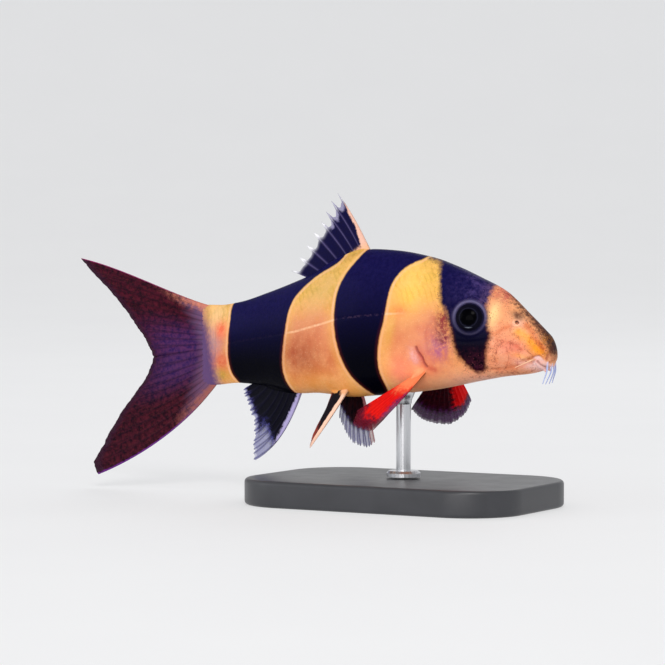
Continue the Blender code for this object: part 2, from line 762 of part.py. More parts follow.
def build():
    clear_scene()
    skin_finish = material("skin_peach", (0.78, 0.42, 0.22), 0.35)
    eye_finish = material("eye_dark", (0.01, 0.012, 0.03), 0.08)
    dark_fin = material("fin_dark", (0.03, 0.02, 0.06), 0.45)
    tail_fin = material("fin_tail", (0.2, 0.05, 0.06), 0.45)
    red_fin = material("fin_red", (0.6, 0.04, 0.02), 0.45)
    pale = material("barbel_pale", (0.8, 0.6, 0.5), 0.4)
    base_finish = material("stand_base_finish", (0.05, 0.05, 0.055), 0.3)
    rod_finish = material("stand_rod_finish", (0.6, 0.6, 0.62), 0.25, 1.0)

    flesh = {
        "head": (head_mesh(), skin_finish),
        "trunk": (trunk_mesh(), skin_finish),
        "tail_stem": (tail_stem_mesh(), skin_finish),
        "eye_right": (eyeball_mesh("eye_right", -1), eye_finish),
        "eye_left": (eyeball_mesh("eye_left", 1), eye_finish),
        "stand_base": (stand_base_mesh(), base_finish),
    }
    rooted = {
        "dorsal_fin": (dorsal_fin_mesh(), dark_fin),
        "anal_fin": (anal_fin_mesh(), dark_fin),
        "caudal_fin_upper": (caudal_upper_mesh(), tail_fin),
        "caudal_fin_lower": (caudal_lower_mesh(), tail_fin),
        "pectoral_fin_right": (pectoral_right_mesh(), red_fin),
        "pectoral_fin_left": (pectoral_left_mesh(), red_fin),
        "pelvic_fin_right": (pelvic_right_mesh(), dark_fin),
        "pelvic_fin_left": (pelvic_left_mesh(), dark_fin),
        "stand_rod": (rod_core_mesh(), rod_finish),
    }
    for name, mesh in barbels().items():
        rooted[name] = (mesh, pale)

    parts = bpy.data.collections.new("clown_loach")
    cutters = bpy.data.collections.new("cutters")
    bpy.context.scene.collection.children.link(parts)
    bpy.context.scene.collection.children.link(cutters)
    grown = grown_body_mesh()
    for name, (mesh, finish) in rooted.items():
        flesh[name] = (combined(name, mesh, [grown.copy()], "DIFFERENCE"), finish)
    for name, (mesh, finish) in flesh.items():
        made = bpy.data.objects.new(name, mesh)
        mesh.name = name
        mesh.materials.clear()
        mesh.materials.append(finish)
        mesh.shade_smooth()
        mesh.set_sharp_from_angle(angle=math.radians(SHARP_ANGLE))
        parts.objects.link(made)
    cutter = bpy.data.objects.new("grown_body", grown)
    cutter.hide_render = True
    cutter.display_type = "WIRE"
    cutters.objects.link(cutter)


build()
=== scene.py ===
# %% [markdown]
# # A young clown loach on a plain stand
#
# The real fish is a bottom-living loach about 8.5 cm long: a deep, slab-sided body in peach and
# yellow with three black bands, a small pointed head with feelers round its mouth, red fins in
# front and a dark red-brown tail. It has no scales that one can see, so its skin shines softly.
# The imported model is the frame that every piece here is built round, and it stays as it is.

# %% Load the frame
import json
import math

import bmesh
import bpy
import numpy as np
from mathutils import Matrix, Vector

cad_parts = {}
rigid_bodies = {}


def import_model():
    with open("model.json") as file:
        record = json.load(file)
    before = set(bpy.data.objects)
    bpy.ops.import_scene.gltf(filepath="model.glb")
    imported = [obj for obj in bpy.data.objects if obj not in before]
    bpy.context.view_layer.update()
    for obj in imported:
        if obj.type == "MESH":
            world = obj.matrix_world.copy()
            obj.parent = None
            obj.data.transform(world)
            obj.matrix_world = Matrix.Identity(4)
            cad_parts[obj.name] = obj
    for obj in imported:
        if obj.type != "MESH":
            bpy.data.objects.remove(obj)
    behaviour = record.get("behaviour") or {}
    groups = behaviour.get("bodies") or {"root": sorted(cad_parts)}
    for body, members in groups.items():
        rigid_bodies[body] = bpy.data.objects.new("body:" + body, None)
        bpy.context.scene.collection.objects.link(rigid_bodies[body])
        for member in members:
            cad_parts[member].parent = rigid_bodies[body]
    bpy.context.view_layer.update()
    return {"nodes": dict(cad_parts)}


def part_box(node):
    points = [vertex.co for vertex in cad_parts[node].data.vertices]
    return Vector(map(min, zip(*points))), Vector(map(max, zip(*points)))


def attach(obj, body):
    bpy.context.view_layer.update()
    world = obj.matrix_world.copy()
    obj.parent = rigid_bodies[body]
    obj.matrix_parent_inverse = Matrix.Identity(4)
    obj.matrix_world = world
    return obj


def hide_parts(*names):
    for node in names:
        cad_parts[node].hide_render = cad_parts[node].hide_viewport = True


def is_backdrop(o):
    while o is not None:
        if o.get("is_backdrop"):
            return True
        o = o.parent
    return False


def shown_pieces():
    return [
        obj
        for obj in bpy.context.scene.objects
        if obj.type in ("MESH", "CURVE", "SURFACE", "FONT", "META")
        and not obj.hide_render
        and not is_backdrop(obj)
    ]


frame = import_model()

# %% [markdown]
# ## The fish's own terms
#
# A swimming fish is bent, so lengths along it are easier to give as stations: the distance behind
# the tip of the snout, measured along the bent back. A place is then a station, a distance to the
# fish's left and a height above the swimming line, all in millimetres. The same few named sizes
# shaped the solids, so a piece that is built from them lies where its solid lies. Numpy works on
# whole arrays of places at once, which keeps a fine skin quick to make.

# %% Stations, curves and places
MM = 0.001
SWIM_HEIGHT = 26.0
STAND_STATION = 25.0
HEADING = ((0, 4), (20, 1.5), (34, -2), (48, -9), (60, -7), (72, 10), (85, 19))
SPINE_STEP = 0.5
SPINE_END = 90.0
NEARING_ROUNDS = 8


def curve_through(knots, x):
    """Heights at x of a smooth curve through the knots that never overshoots them."""
    xs, ys = np.array(knots, float).T
    x = np.clip(x, xs[0], xs[-1])
    steps = np.diff(ys) / np.diff(xs)
    before, after = steps[:-1], steps[1:]
    agree = before * after > 0
    total = np.where(agree, before + after, 1)
    slopes = np.concatenate([steps[:1], np.where(agree, 2 * before * after / total, 0), steps[-1:]])
    i = np.clip(np.searchsorted(xs, x, side="right") - 1, 0, len(xs) - 2)
    width = xs[i + 1] - xs[i]
    t = (x - xs[i]) / width
    rise = (1 + 2 * t) * (1 - t) ** 2 * ys[i] + t * t * (3 - 2 * t) * ys[i + 1]
    return rise + width * (t * (1 - t) ** 2 * slopes[i] - t * t * (1 - t) * slopes[i + 1])


def smooth_step(low, high, x):
    t = np.clip((x - low) / (high - low), 0, 1)
    return t * t * (3 - 2 * t)


def hill(x, middle, width):
    """A soft hill of height 1."""
    return np.exp(-((x - middle) / width) ** 2)


def heading(station):
    return np.radians(curve_through(HEADING, station))


def walk_spine():
    """Places of the spine every step, with the stand's station over the origin."""
    angles = heading((np.arange(int(SPINE_END / SPINE_STEP)) + 0.5) * SPINE_STEP)
    steps = -SPINE_STEP * np.stack([np.cos(angles), np.sin(angles), 0 * angles], axis=1)
    places = np.concatenate([np.zeros((1, 3)), np.cumsum(steps, axis=0)])
    places -= places[round(STAND_STATION / SPINE_STEP)]
    return places + (0, 0, SWIM_HEIGHT)


SPINE = walk_spine()
STATIONS = np.arange(len(SPINE)) * SPINE_STEP


def spine_frame(station):
    """Place of the spine at each station, the way ahead there, and the way to the left."""
    angle = heading(np.maximum(station, 0))
    ahead = np.stack([np.cos(angle), np.sin(angle), 0 * angle], axis=-1)
    leftward = np.stack([-np.sin(angle), np.cos(angle), 0 * angle], axis=-1)
    behind = np.maximum(station, 0)
    base = np.stack([np.interp(behind, STATIONS, SPINE[:, axis]) for axis in range(3)], axis=-1)
    return base + ahead * np.maximum(-station, 0)[..., None], ahead, leftward


def place(station, left, height):
    """World places in millimetres, for single numbers or arrays."""
    terms = [np.asarray(value, float) for value in (station, left, height)]
    station, left, height = np.broadcast_arrays(*terms)
    base, _, leftward = spine_frame(station)
    return base + leftward * left[..., None] + np.array((0, 0, 1.0)) * height[..., None]


def fish_terms(points):
    """Station, distance left and height of world places in millimetres."""
    station = np.interp(-points[:, 0], -SPINE[:, 0], STATIONS)
    for _ in range(NEARING_ROUNDS):
        base, ahead, leftward = spine_frame(station)
        station = station - np.einsum("ij,ij->i", points - base, ahead)
    base, ahead, leftward = spine_frame(station)
    return station, np.einsum("ij,ij->i", points - base, leftward), points[:, 2] - SWIM_HEIGHT


check = fish_terms(place(np.array([5.0, 40.0]), np.array([1.0, -3.0]), np.array([2.0, -4.0])))
print("a place turned into terms and back:", np.round(np.array(check).T, 3).tolist())

# %% [markdown]
# ## The shape of the body
#
# The body is a loft: rings of points round the fish, whose top, bottom and half width follow
# smooth lines from snout to tail. The sections are a little fuller than an ellipse below and a
# little keeled above. These lines were read off the photographed outline. A sculpted mesh would
# also do, but lines with a few named knots can be checked and changed one at a time.

# %% Lines of the body
BACK_LINE = (
    (0, -0.9), (1.4, 0.5), (4, 3.0), (8, 6.55), (12, 8.5), (16, 10.2), (20, 11.5), (26, 12.5),
    (30, 12.7), (35, 11.6), (40, 9.3), (44, 7.8), (50, 5.9), (56, 4.3), (60, 3.8), (62.5, 3.8),
)
BELLY_LINE = (
    (0, -4.3), (1.1, -4.45), (2.2, -5.2), (4, -5.65), (8, -6.15), (12, -6.9), (20, -8.5),
    (30, -9.6), (34, -9.9), (40, -9.5), (44, -9.7), (50, -8.8), (56, -8.5), (60, -8.9), (62.5, -9.2),
)
WIDEST_LINE = (
    (0, -2.9), (4, -2.7), (8, -1.8), (14, -0.6), (22, 0.2), (34, 0.4), (48, -1.4), (62.5, -2.5),
)
HALF_WIDTH = (
    (0, 1.75), (2, 2.15), (4, 2.75), (8, 3.75), (12, 4.5), (17, 5.0), (24, 5.2), (30, 5.0),
    (38, 4.2), (46, 3.2), (54, 2.1), (60, 1.3), (62.5, 0.8),
)
UPPER_POWER = ((0, 2.2), (6, 1.9), (14, 1.95), (30, 1.8), (62.5, 1.9))
LOWER_POWER = ((0, 2.4), (10, 2.5), (24, 2.3), (44, 2.0), (62.5, 1.9))
SNOUT_ROUND = 1.1
GILL_EDGE = 18.6
GILL_BULGE = 1.5
GILL_COVER_RISE = 0.22
HALVINGS = 40


def signed_power(value, power):
    return np.copysign(np.abs(value) ** power, value)


def gill_edge(around):
    """Station of the gill cover's rear edge, furthest back low on the flank."""
    return GILL_EDGE + GILL_BULGE * (hill(around, -0.35, 0.45) - 0.6)


def gill_cover(station, around):
    """How far the gill cover stands out of the flank, with a soft step at its rear edge."""
    edge = gill_edge(around)
    rise = smooth_step(edge - 5.0, edge - 0.5, station) * (1 - smooth_step(edge, edge + 0.5, station))
    return GILL_COVER_RISE * hill(around, -0.3, 0.5) * rise


def section(station, turn):
    """Distance left of the middle plane, and height, of the skin at a turn from the back."""
    station, turn = np.broadcast_arrays(np.asarray(station, float), np.asarray(turn, float))
    rounding = np.sqrt(1 - (1 - np.minimum(station / SNOUT_ROUND, 1)) ** 2)
    widest = curve_through(WIDEST_LINE, station)
    across = np.sin(math.tau * turn)
    up = np.cos(math.tau * turn)
    above = curve_through(BACK_LINE, station) - widest
    below = widest - curve_through(BELLY_LINE, station)
    power_above = 2 / curve_through(UPPER_POWER, station)
    power_below = 2 / curve_through(LOWER_POWER, station)
    reach = np.where(up >= 0, above, below)
    power = np.where(up >= 0, power_above, power_below)
    half = curve_through(HALF_WIDTH, station) + gill_cover(station, up)
    left = -rounding * half * signed_power(across, power)
    return left, widest + rounding * reach * signed_power(up, power)


def skin(station, turn):
    """World places on the skin. Turn 0 is the back, 0.25 the right flank and 0.5 the belly."""
    left, height = section(station, turn)
    return place(station, left, height)


def skin_normal(station, turn):
    behind = skin(station + 0.15, turn) - skin(np.maximum(station - 0.15, 0.02), turn)
    around = skin(station, turn + 0.01) - skin(station, turn - 0.01)
    normal = np.cross(behind, around)
    return normal / np.linalg.norm(normal, axis=-1, keepdims=True)


def skin_at(station, height, side):
    """Place and outward normal of the skin at this height on one flank."""
    low, high = 0.0, 0.5
    for _ in range(HALVINGS):
        middle = (low + high) / 2
        if section(station, middle)[1] > height:
            low = middle
        else:
            high = middle
    turn = low if side < 0 else 1 - low
    return skin(station, turn), skin_normal(station, turn)


deepest = max(curve_through(BACK_LINE, s) - curve_through(BELLY_LINE, s) for s in range(60))
print("deepest section of the body in mm:", round(float(deepest), 1))

# %% [markdown]
# ## Helpers that make closed meshes
#
# Each lump of flesh starts as its own closed mesh in millimetres: a loft, a tube, a ball or a
# ring. They only have to overlap, because a later step melts them into one skin.

# %% Lofts, tubes, balls and rings


def loft(rings, nose=None):
    """Corners and faces of a closed skin over rings of points, with a point or a flat at its ends."""
    rings = np.asarray(rings)
    count = rings.shape[1]
    total = len(rings)
    ends = [rings[0].mean(axis=0) if nose is None else np.asarray(nose), rings[-1].mean(axis=0)]
    corners = np.concatenate([rings.reshape(-1, 3), ends])
    faces = []
    for i in range(total - 1):
        for j in range(count):
            k = (j + 1) % count
            faces.append((i * count + j, i * count + k, (i + 1) * count + k, (i + 1) * count + j))
    for start, tip in ((0, total * count), ((total - 1) * count, total * count + 1)):
        for j in range(count):
            faces.append((start + j, start + (j + 1) % count, tip))
    return corners, faces


def turned_frame(axis):
    """Two directions square to an axis and to each other."""
    axis = Vector(axis).normalized()
    matrix = axis.to_track_quat("Z", "Y").to_matrix()
    return np.array(matrix.col[0]), np.array(matrix.col[1]), np.array(axis)


def tube(path, radii, around=14, rings_at_end=3):
    """A closed tube along a path, with rounded ends."""
    path = np.asarray(path, float)
    radii = np.asarray(radii, float)
    way = np.gradient(path, axis=0)
    way /= np.linalg.norm(way, axis=1, keepdims=True)
    side, _, _ = turned_frame(way[0])
    turns = np.arange(around) / around * math.tau
    rings = []
    for index, (point, along, radius) in enumerate(zip(path, way, radii)):
        side = side - along * np.dot(side, along)
        side /= np.linalg.norm(side)
        other = np.cross(along, side)
        circle = np.cos(turns)[:, None] * side + np.sin(turns)[:, None] * other
        tilts = [0.0]
        if index == 0:
            tilts = [-math.pi / 2 * (1 - k / rings_at_end) for k in range(rings_at_end + 1)][1:]
        if index == len(path) - 1:
            tilts = [math.pi / 2 * k / rings_at_end for k in range(rings_at_end)]
        for tilt in tilts:
            rings.append(point + along * radius * math.sin(tilt) + circle * radius * math.cos(tilt))
    return loft(rings)


def ball(centre, radii, axis, segments, rows):
    """A ball with three radii about its centre, the third along the axis."""
    first, second, third = turned_frame(axis)
    rings = []
    for i in range(1, rows):
        tilt = math.pi * i / rows
        turns = np.arange(segments) / segments * math.tau
        rings.append(
            np.asarray(centre)
            + np.outer(np.cos(turns), first) * radii[0] * math.sin(tilt)
            + np.outer(np.sin(turns), second) * radii[1] * math.sin(tilt)
            + third * radii[2] * math.cos(tilt)
        )
    return loft(rings)


def ring(centre, axis, radius, thickness, heavier, around=48, sides=12):
    """A closed ring whose hole lies along the axis. heavier(direction) scales the thickness."""
    first, second, third = turned_frame(axis)
    corners = []
    for turn in np.arange(around) / around * math.tau:
        out = math.cos(turn) * first + math.sin(turn) * second
        thick = thickness * heavier(out)
        for tilt in np.arange(sides) / sides * math.tau:
            reach = out * (radius + thick * math.cos(tilt))
            corners.append(np.asarray(centre) + reach + third * thick * math.sin(tilt))
    faces = []
    for i in range(around):
        for j in range(sides):
            k = (j + 1) % sides
            n = (i + 1) % around
            faces.append((i * sides + j, n * sides + j, n * sides + k, i * sides + k))
    return np.array(corners), faces


def path_through(points, count):
    """Evenly shared places along a smooth curve through the given ones."""
    points = np.asarray(points, float)
    index = np.arange(len(points))
    shares = np.linspace(0, len(points) - 1, count)
    return np.stack([curve_through(list(zip(index, points[:, k])), shares) for k in range(3)], axis=1)


def joined(parts):
    """One list of corners and one of faces from several closed meshes."""
    corners, faces, start = [], [], 0
    for part_corners, part_faces in parts:
        corners.append(part_corners)
        faces += [tuple(start + index for index in face) for face in part_faces]
        start += len(part_corners)
    return np.concatenate(corners), faces


def closed_mesh(name, corners, faces):
    """A mesh from corners and faces, turned so that every face looks outward."""
    mesh = bpy.data.meshes.new(name)
    mesh.from_pydata(corners.tolist(), [], faces)
    shape = bmesh.new()
    shape.from_mesh(mesh)
    bmesh.ops.recalc_face_normals(shape, faces=shape.faces)
    shape.to_mesh(mesh)
    shape.free()
    return mesh


def evaluated_mesh(made):
    bpy.context.view_layer.update()
    return bpy.data.meshes.new_from_object(made.evaluated_get(bpy.context.evaluated_depsgraph_get()))


def corners_of(mesh):
    flat = np.empty(len(mesh.vertices) * 3)
    mesh.vertices.foreach_get("co", flat)
    return flat.reshape(-1, 3)


def normals_of(mesh):
    flat = np.empty(len(mesh.vertices) * 3, np.float32)
    mesh.vertex_normals.foreach_get("vector", flat)
    return flat.reshape(-1, 3).astype(float)


def give(mesh, name, values):
    """Stores one number for each corner, which a material can read by name."""
    layer = mesh.attributes.new(name, "FLOAT", "POINT")
    layer.data.foreach_set("value", np.ascontiguousarray(values, np.float32))


def piece_from(name, mesh, replaces=()):
    """Puts a mesh, whose corners are in millimetres, into the scene as a piece of the fish."""
    mesh.transform(Matrix.Scale(MM, 4))
    mesh.name = name
    mesh.shade_smooth()
    made = bpy.data.objects.new(name, mesh)
    bpy.context.scene.collection.objects.link(made)
    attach(made, "root")
    if replaces:
        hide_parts(*replaces)
    print(name, "has", len(mesh.polygons), "faces")
    return made


# %% [markdown]
# ## The body as one skin
#
# On the fish the head, the trunk and the stem of the tail are one skin with no seam. So the body
# is lofted from the snout to past the root of the tail, and the lips, the nostril tubes, the
# fleshy rims of the eyes and the pads at the roots of the fins are laid into it as lumps.

# %% Body core
BODY_RINGS = 260
BODY_AROUND = 128
BODY_END = 63.6
TAIL_PAD = ((60.0, 1.0), (62.0, 0.8), (63.0, 0.55), (63.6, 0.36))


def body_core():
    stations = BODY_END * (np.arange(1, BODY_RINGS + 1) / BODY_RINGS) ** 1.25
    turns = np.arange(BODY_AROUND) / BODY_AROUND
    rings = []
    for station in stations:
        left, height = section(station, turns)
        if station > TAIL_PAD[0][0]:
            limit = curve_through(TAIL_PAD, station)
            left = np.clip(left, -limit, limit)
        rings.append(place(station, left, height))
    return loft(rings, nose=skin(0.0, 0.0))


# %% [markdown]
# The mouth opens under the tip of the snout in a bow from corner to corner. Two soft lips follow
# it, thick in the middle and thin at the corners, and two stubs hang from the lower lip. Each
# nostril is a short tube of skin with a flap behind, and each eye sits in a fleshy rim that is
# heavier above. A pad of flesh lies along the root of every fin.

# %% Lips, nostrils, rims of the eyes
MOUTH_STATION = 1.2
MOUTH_BOW = 0.9
MOUTH_SPREAD = 0.2
LIP_RADIUS = 0.42
LIP_OFFSET = 0.46
LIP_PINCH = 0.6
LIP_THINNING = 0.45
LIP_SINK = 0.11
LIP_OVERRUN = 1.04
LIP_RINGS = 40
SLIT_DEPTH = 0.8
SLIT_HALF_WIDTH = 0.13
SLIT_RINGS = 28
CHIN_FEELER_SHARE = 0.26
CHIN_FEELER_LENGTH = 0.75
EYE_STATION = 12.05
EYE_HEIGHT = 2.6
EYE_RADIUS = 2.35
EYE_FLATNESS = 0.8
EYE_SINK = 0.75
EYE_YAW = 10.0
EYE_PITCH = 8.0
EYE_RIM_RADIUS = 2.55
EYE_RIM_THICKNESS = 0.36
EYE_RIM_RISE = 0.58
NOSTRIL_STATION = 5.35
NOSTRIL_HEIGHT = 1.9
NOSTRIL_RADIUS = 0.5
NOSTRIL_THICKNESS = 0.25
PAD_RINGS = 24


def mouth_frame(share, offset=0.0):
    """Place, outward normal and rearward direction on the line of the mouth."""
    station = MOUTH_STATION + MOUTH_BOW * share * share + offset * (1 - LIP_PINCH * share * share)
    turn = 0.5 + MOUTH_SPREAD * share
    along = skin(station + 0.1, turn) - skin(station - 0.1, turn)
    return skin(station, turn), skin_normal(station, turn), along / np.linalg.norm(along)


def lip(offset):
    shares = np.linspace(-LIP_OVERRUN, LIP_OVERRUN, LIP_RINGS)
    path = []
    for share in shares:
        point, normal, _ = mouth_frame(share, offset)
        path.append(point - normal * LIP_SINK)
    return tube(path, LIP_RADIUS * (1 - LIP_THINNING * np.abs(shares) ** 3))


def chin_feeler(side):
    point, normal, _ = mouth_frame(CHIN_FEELER_SHARE * side, LIP_OFFSET)
    path = [point + normal * CHIN_FEELER_LENGTH * share for share in (0, 0.35, 0.7, 1)]
    return tube(path, (0.27, 0.24, 0.19, 0.1))


def mouth_slit():
    """A thin wedge that follows the bow of the mouth into the head, to be cut away."""
    rings = []
    for share in np.linspace(-1, 1, SLIT_RINGS):
        point, normal, along = mouth_frame(share)
        half = SLIT_HALF_WIDTH * (1 - 0.4 * share ** 2)
        rings.append([
            point - normal * SLIT_DEPTH, point - along * half * 0.6, point - along * half + normal,
            point + along * half + normal, point + along * half * 0.6,
        ])
    return loft(rings)


def eye_pose(side):
    """Centre of the eyeball and the way it looks. side is -1 for the right eye, 1 for the left."""
    point, _ = skin_at(EYE_STATION, EYE_HEIGHT, side)
    yaw = heading(EYE_STATION) + side * math.radians(90 - EYE_YAW)
    pitch = math.radians(EYE_PITCH)
    level = math.cos(pitch)
    looks = np.array((math.cos(yaw) * level, math.sin(yaw) * level, math.sin(pitch)))
    return point - looks * EYE_SINK, looks


def eye_rim(side):
    """The soft skin round the eye, heavier over its top like a lid."""
    centre, looks = eye_pose(side)

    def heavier(out):
        return 1.0 + 0.28 * out[2]

    middle = centre + looks * EYE_RIM_RISE
    return ring(middle, looks, EYE_RIM_RADIUS, EYE_RIM_THICKNESS, heavier)


def nostril(side):
    """A short tube of skin round the nostril, with a flap at its rear edge."""
    point, normal = skin_at(NOSTRIL_STATION, NOSTRIL_HEIGHT, side)
    ahead = spine_frame(np.array(NOSTRIL_STATION))[1]

    def heavier(out):
        return 1.0 - 0.45 * float(np.dot(out, ahead))

    middle = point + normal * 0.12
    return ring(middle, normal, NOSTRIL_RADIUS, NOSTRIL_THICKNESS, heavier, 28, 8)


def fin_pad(points, radii):
    """A fleshy ridge along the root of a fin, through points in the fish's terms."""
    path = path_through([place(*point) for point in points], PAD_RINGS)
    shares = np.linspace(0, len(radii) - 1, PAD_RINGS)
    sizes = curve_through(list(enumerate(radii)), shares)
    return tube(path, sizes, 16)


def flesh_lumps():
    lumps = [lip(-LIP_OFFSET), lip(LIP_OFFSET), chin_feeler(-1), chin_feeler(1)]
    for side in (-1, 1):
        lumps += [eye_rim(side), nostril(side)]
        pectoral = ((18.9, 3.75 * side, -5.0), (20.1, 4.05 * side, -5.7), (21.2, 4.3 * side, -6.6))
        pelvic = ((34.0, 1.3 * side, -9.0), (35.2, 1.6 * side, -9.15), (36.4, 1.7 * side, -9.0))
        lumps.append(fin_pad(pectoral, (0.45, 0.7, 0.35)))
        lumps.append(fin_pad(pelvic, (0.3, 0.5, 0.3)))
    dorsal = ((29.6, 0, 12.3), (32.0, 0, 12.2), (36.0, 0, 10.9), (42.4, 0, 7.9))
    anal = ((42.6, 0, -9.1), (45.0, 0, -9.2), (48.0, 0, -8.9), (52.0, 0, -8.2))
    lumps.append(fin_pad(dorsal, (0.2, 0.55, 0.6, 0.25)))
    lumps.append(fin_pad(anal, (0.2, 0.6, 0.6, 0.25)))
    return lumps


# %% [markdown]
# Joining lumps one by one with Booleans leaves a crease at each join. A voxel remesh instead
# fills the whole with small even cells and draws one new skin round them, and a little smoothing
# turns the joins into the soft hollows that flesh has. The mouth and the pits of the nostrils
# are cut first, so that they stay open.

# %% Melt the lumps into one skin
VOXEL = 0.125


def object_of(name, part):
    made = bpy.data.objects.new(name, closed_mesh(name, *part))
    bpy.context.scene.collection.objects.link(made)
    return made


def pit(side):
    point, normal = skin_at(NOSTRIL_STATION, NOSTRIL_HEIGHT, side)
    return ball(point, (0.3, 0.3, 0.62), normal, 16, 10)


def melted_body():
    body = object_of("body_melt", joined([body_core()] + flesh_lumps()))
    hollow = object_of("hollows", joined([mouth_slit(), pit(-1), pit(1)]))
    first = body.modifiers.new("melt", "REMESH")
    first.mode = "VOXEL"
    first.voxel_size = VOXEL
    cut = body.modifiers.new("cut", "BOOLEAN")
    cut.operation = "DIFFERENCE"
    cut.object = hollow
    again = body.modifiers.new("melt_again", "REMESH")
    again.mode = "VOXEL"
    again.voxel_size = VOXEL
    soften = body.modifiers.new("soften", "SMOOTH")
    soften.factor = 0.5
    soften.iterations = 4
    mesh = evaluated_mesh(body)
    bpy.data.objects.remove(body)
    bpy.data.objects.remove(hollow)
    return mesh


body_mesh = melted_body()
print("melted body:", len(body_mesh.vertices), "corners")

# %% [markdown]
# ## Relief that is drawn on the skin
#
# The gill slit, the fold under the eye, the line of the jaw and the lateral line are lines on
# the flank. Each is a few stations and heights, and every corner of the skin is moved in or out
# by its distance from the line. The cheek swells a little and a shallow hollow lies ahead of the
# eye. The same lines colour the folds later with painted shade that darkens them, so that shape
# and colour stay together.

# %% Distances on the flank
FAR = 1e9
CORNER_CUTS = 2
station, left, height = fish_terms(corners_of(body_mesh))
print("stations from", round(station.min(), 2), "to", round(station.max(), 2))


def distance_to_line(line, closed=False):
    """Distance in millimetres, on the flank, from every corner of the skin to a line of points."""
    line = np.array(line, float)
    ends = np.roll(line, -1, axis=0) if closed else line[1:]
    starts = line if closed else line[:-1]
    nearest = np.full(len(station), FAR)
    for (x0, y0), (x1, y1) in zip(starts, ends):
        dx, dy = x1 - x0, y1 - y0
        t = np.clip(((station - x0) * dx + (height - y0) * dy) / (dx * dx + dy * dy), 0, 1)
        nearest = np.minimum(nearest, np.hypot(station - x0 - t * dx, height - y0 - t * dy))
    return nearest


def rounded(outline):
    """A closed outline with its corners cut again and again, which leaves a smooth curve."""
    line = np.array(outline, float)
    for _ in range(CORNER_CUTS):
        following = np.roll(line, -1, axis=0)
        near_start = 0.75 * line + 0.25 * following
        near_end = 0.25 * line + 0.75 * following
        line = np.stack([near_start, near_end], axis=1).reshape(-1, 2)
    return line


def depth_in_patch(outline):
    """Distance inside a closed outline on the flank, counted negative outside it."""
    outline = rounded(outline)
    inside = np.zeros(len(station), bool)
    for (x0, y0), (x1, y1) in zip(outline, np.roll(outline, -1, axis=0)):
        if y0 == y1:
            continue
        crosses = (y0 > height) != (y1 > height)
        inside ^= crosses & (station < (x1 - x0) * (height - y0) / (y1 - y0) + x0)
    distance = distance_to_line(outline, closed=True)
    return np.where(inside, distance, -distance)


GILL_SLIT = ((20.3, -1.9), (20.1, -2.5), (19.8, -2.9), (19.3, -3.5), (19.15, -4.2), (18.8, -4.7))
COVER_EDGE = ((17.6, 2.6), (18.4, 1.4), (18.8, 0.2), (18.6, -1.0), (18.2, -2.4))
LATERAL_LINE = (
    (19.5, 3.3), (25.7, 3.0), (33.3, 2.3), (36.8, 1.3), (42.0, 0.0), (50.0, -1.2), (60.5, -2.6),
)
CHEEK_FOLD = ((8.6, -0.4), (10.4, -0.8), (12.2, -1.0), (13.8, -0.9))
JAW_FOLD = ((2.2, -3.4), (4.2, -4.3), (7.0, -4.9), (10.5, -5.1))
SNOUT_FOLD = ((1.9, -2.9), (3.0, -3.2), (4.2, -3.6))
GROOVES = (
    # line, depth, half width
    (GILL_SLIT, 0.24, 0.2), (COVER_EDGE, 0.10, 0.5), (LATERAL_LINE, 0.035, 0.16),
    (CHEEK_FOLD, 0.05, 0.22), (JAW_FOLD, 0.10, 0.35), (SNOUT_FOLD, 0.12, 0.22),
)
SWELLINGS = (
    # middle (station, height), how far it stands out, half width
    ((15.6, -2.6), 0.16, 2.1), ((8.2, 3.6), -0.12, 1.7),
)
STEM_THINS_FROM = 60.8
STEM_THINNING = 0.6

move = np.zeros(len(station))
for line, groove, width in GROOVES:
    move -= groove * hill(distance_to_line(line), 0, width)
for (x, y), swelling, width in SWELLINGS:
    move += swelling * hill(np.hypot(station - x, height - y), 0, width)
thin = 1 - STEM_THINNING * smooth_step(STEM_THINS_FROM, BODY_END, station)
_, _, leftward = spine_frame(station)
drawn_in = leftward * (left * (thin - 1))[:, None]
corners = corners_of(body_mesh) + normals_of(body_mesh) * move[:, None] + drawn_in
body_mesh.vertices.foreach_set("co", corners.reshape(-1))
body_mesh.update()
print("relief moves the skin by", round(float(move.min()), 2), "to", round(float(move.max()), 2), "mm")

# %% [markdown]
# ## Where the colours lie
#
# The three bands run round the fish: one through the eye, one in front of the dorsal fin and one
# from the dorsal fin's rear to the anal fin. An outline of each was measured on the flank. What
# is stored is the depth inside the outline, in millimetres. A material can turn that into an
# edge as sharp as it likes and make it ragged with noise, at any distance of the camera, while
# painted corners would blur over the width of a cell.

# %% Bands
FRONT_BAND = (
    (9.0, 15), (9.4, 7.3), (9.6, 6.5), (9.6, 5.7), (9.8, 4.9), (9.4, 3.2), (9.2, 0.8), (8.7, 0.2),
    (9.0, -0.6), (9.3, -2.1), (9.5, -4.2), (9.6, -5.0), (10.3, -5.6), (11.4, -5.6), (12.2, -5.0),
    (12.8, -4.2), (13.5, -3.5), (14.2, -2.3), (14.5, -1.1), (14.7, 0.3), (15.2, 1.7), (15.6, 3.0),
    (15.9, 3.9), (16.6, 4.5), (16.9, 5.5), (17.1, 6.9), (17.4, 8.1), (17.9, 10.0), (18.3, 10.7),
    (19.3, 11.1), (20.5, 11.4), (20.4, 15),
)
MIDDLE_BAND = (
    (20.0, 15), (20.2, 11.5), (22.8, 10.4), (24.2, 8.9), (25.0, 7.4), (25.3, 5.1), (25.6, 2.1),
    (26.4, -0.6), (26.9, -3.7), (26.8, -6.0), (26.4, -7.6), (26.4, -8.6), (27.2, -9.9), (28.3, -11),
    (29.2, -9.9), (29.4, -9.3), (30.4, -8.3), (32.0, -6.6), (33.2, -4.2), (34.0, -1.5), (34.4, 0.8),
    (34.5, 3.1), (34.4, 6.2), (33.4, 8.9), (31.8, 11.2), (30.9, 12.6), (30.7, 15),
)
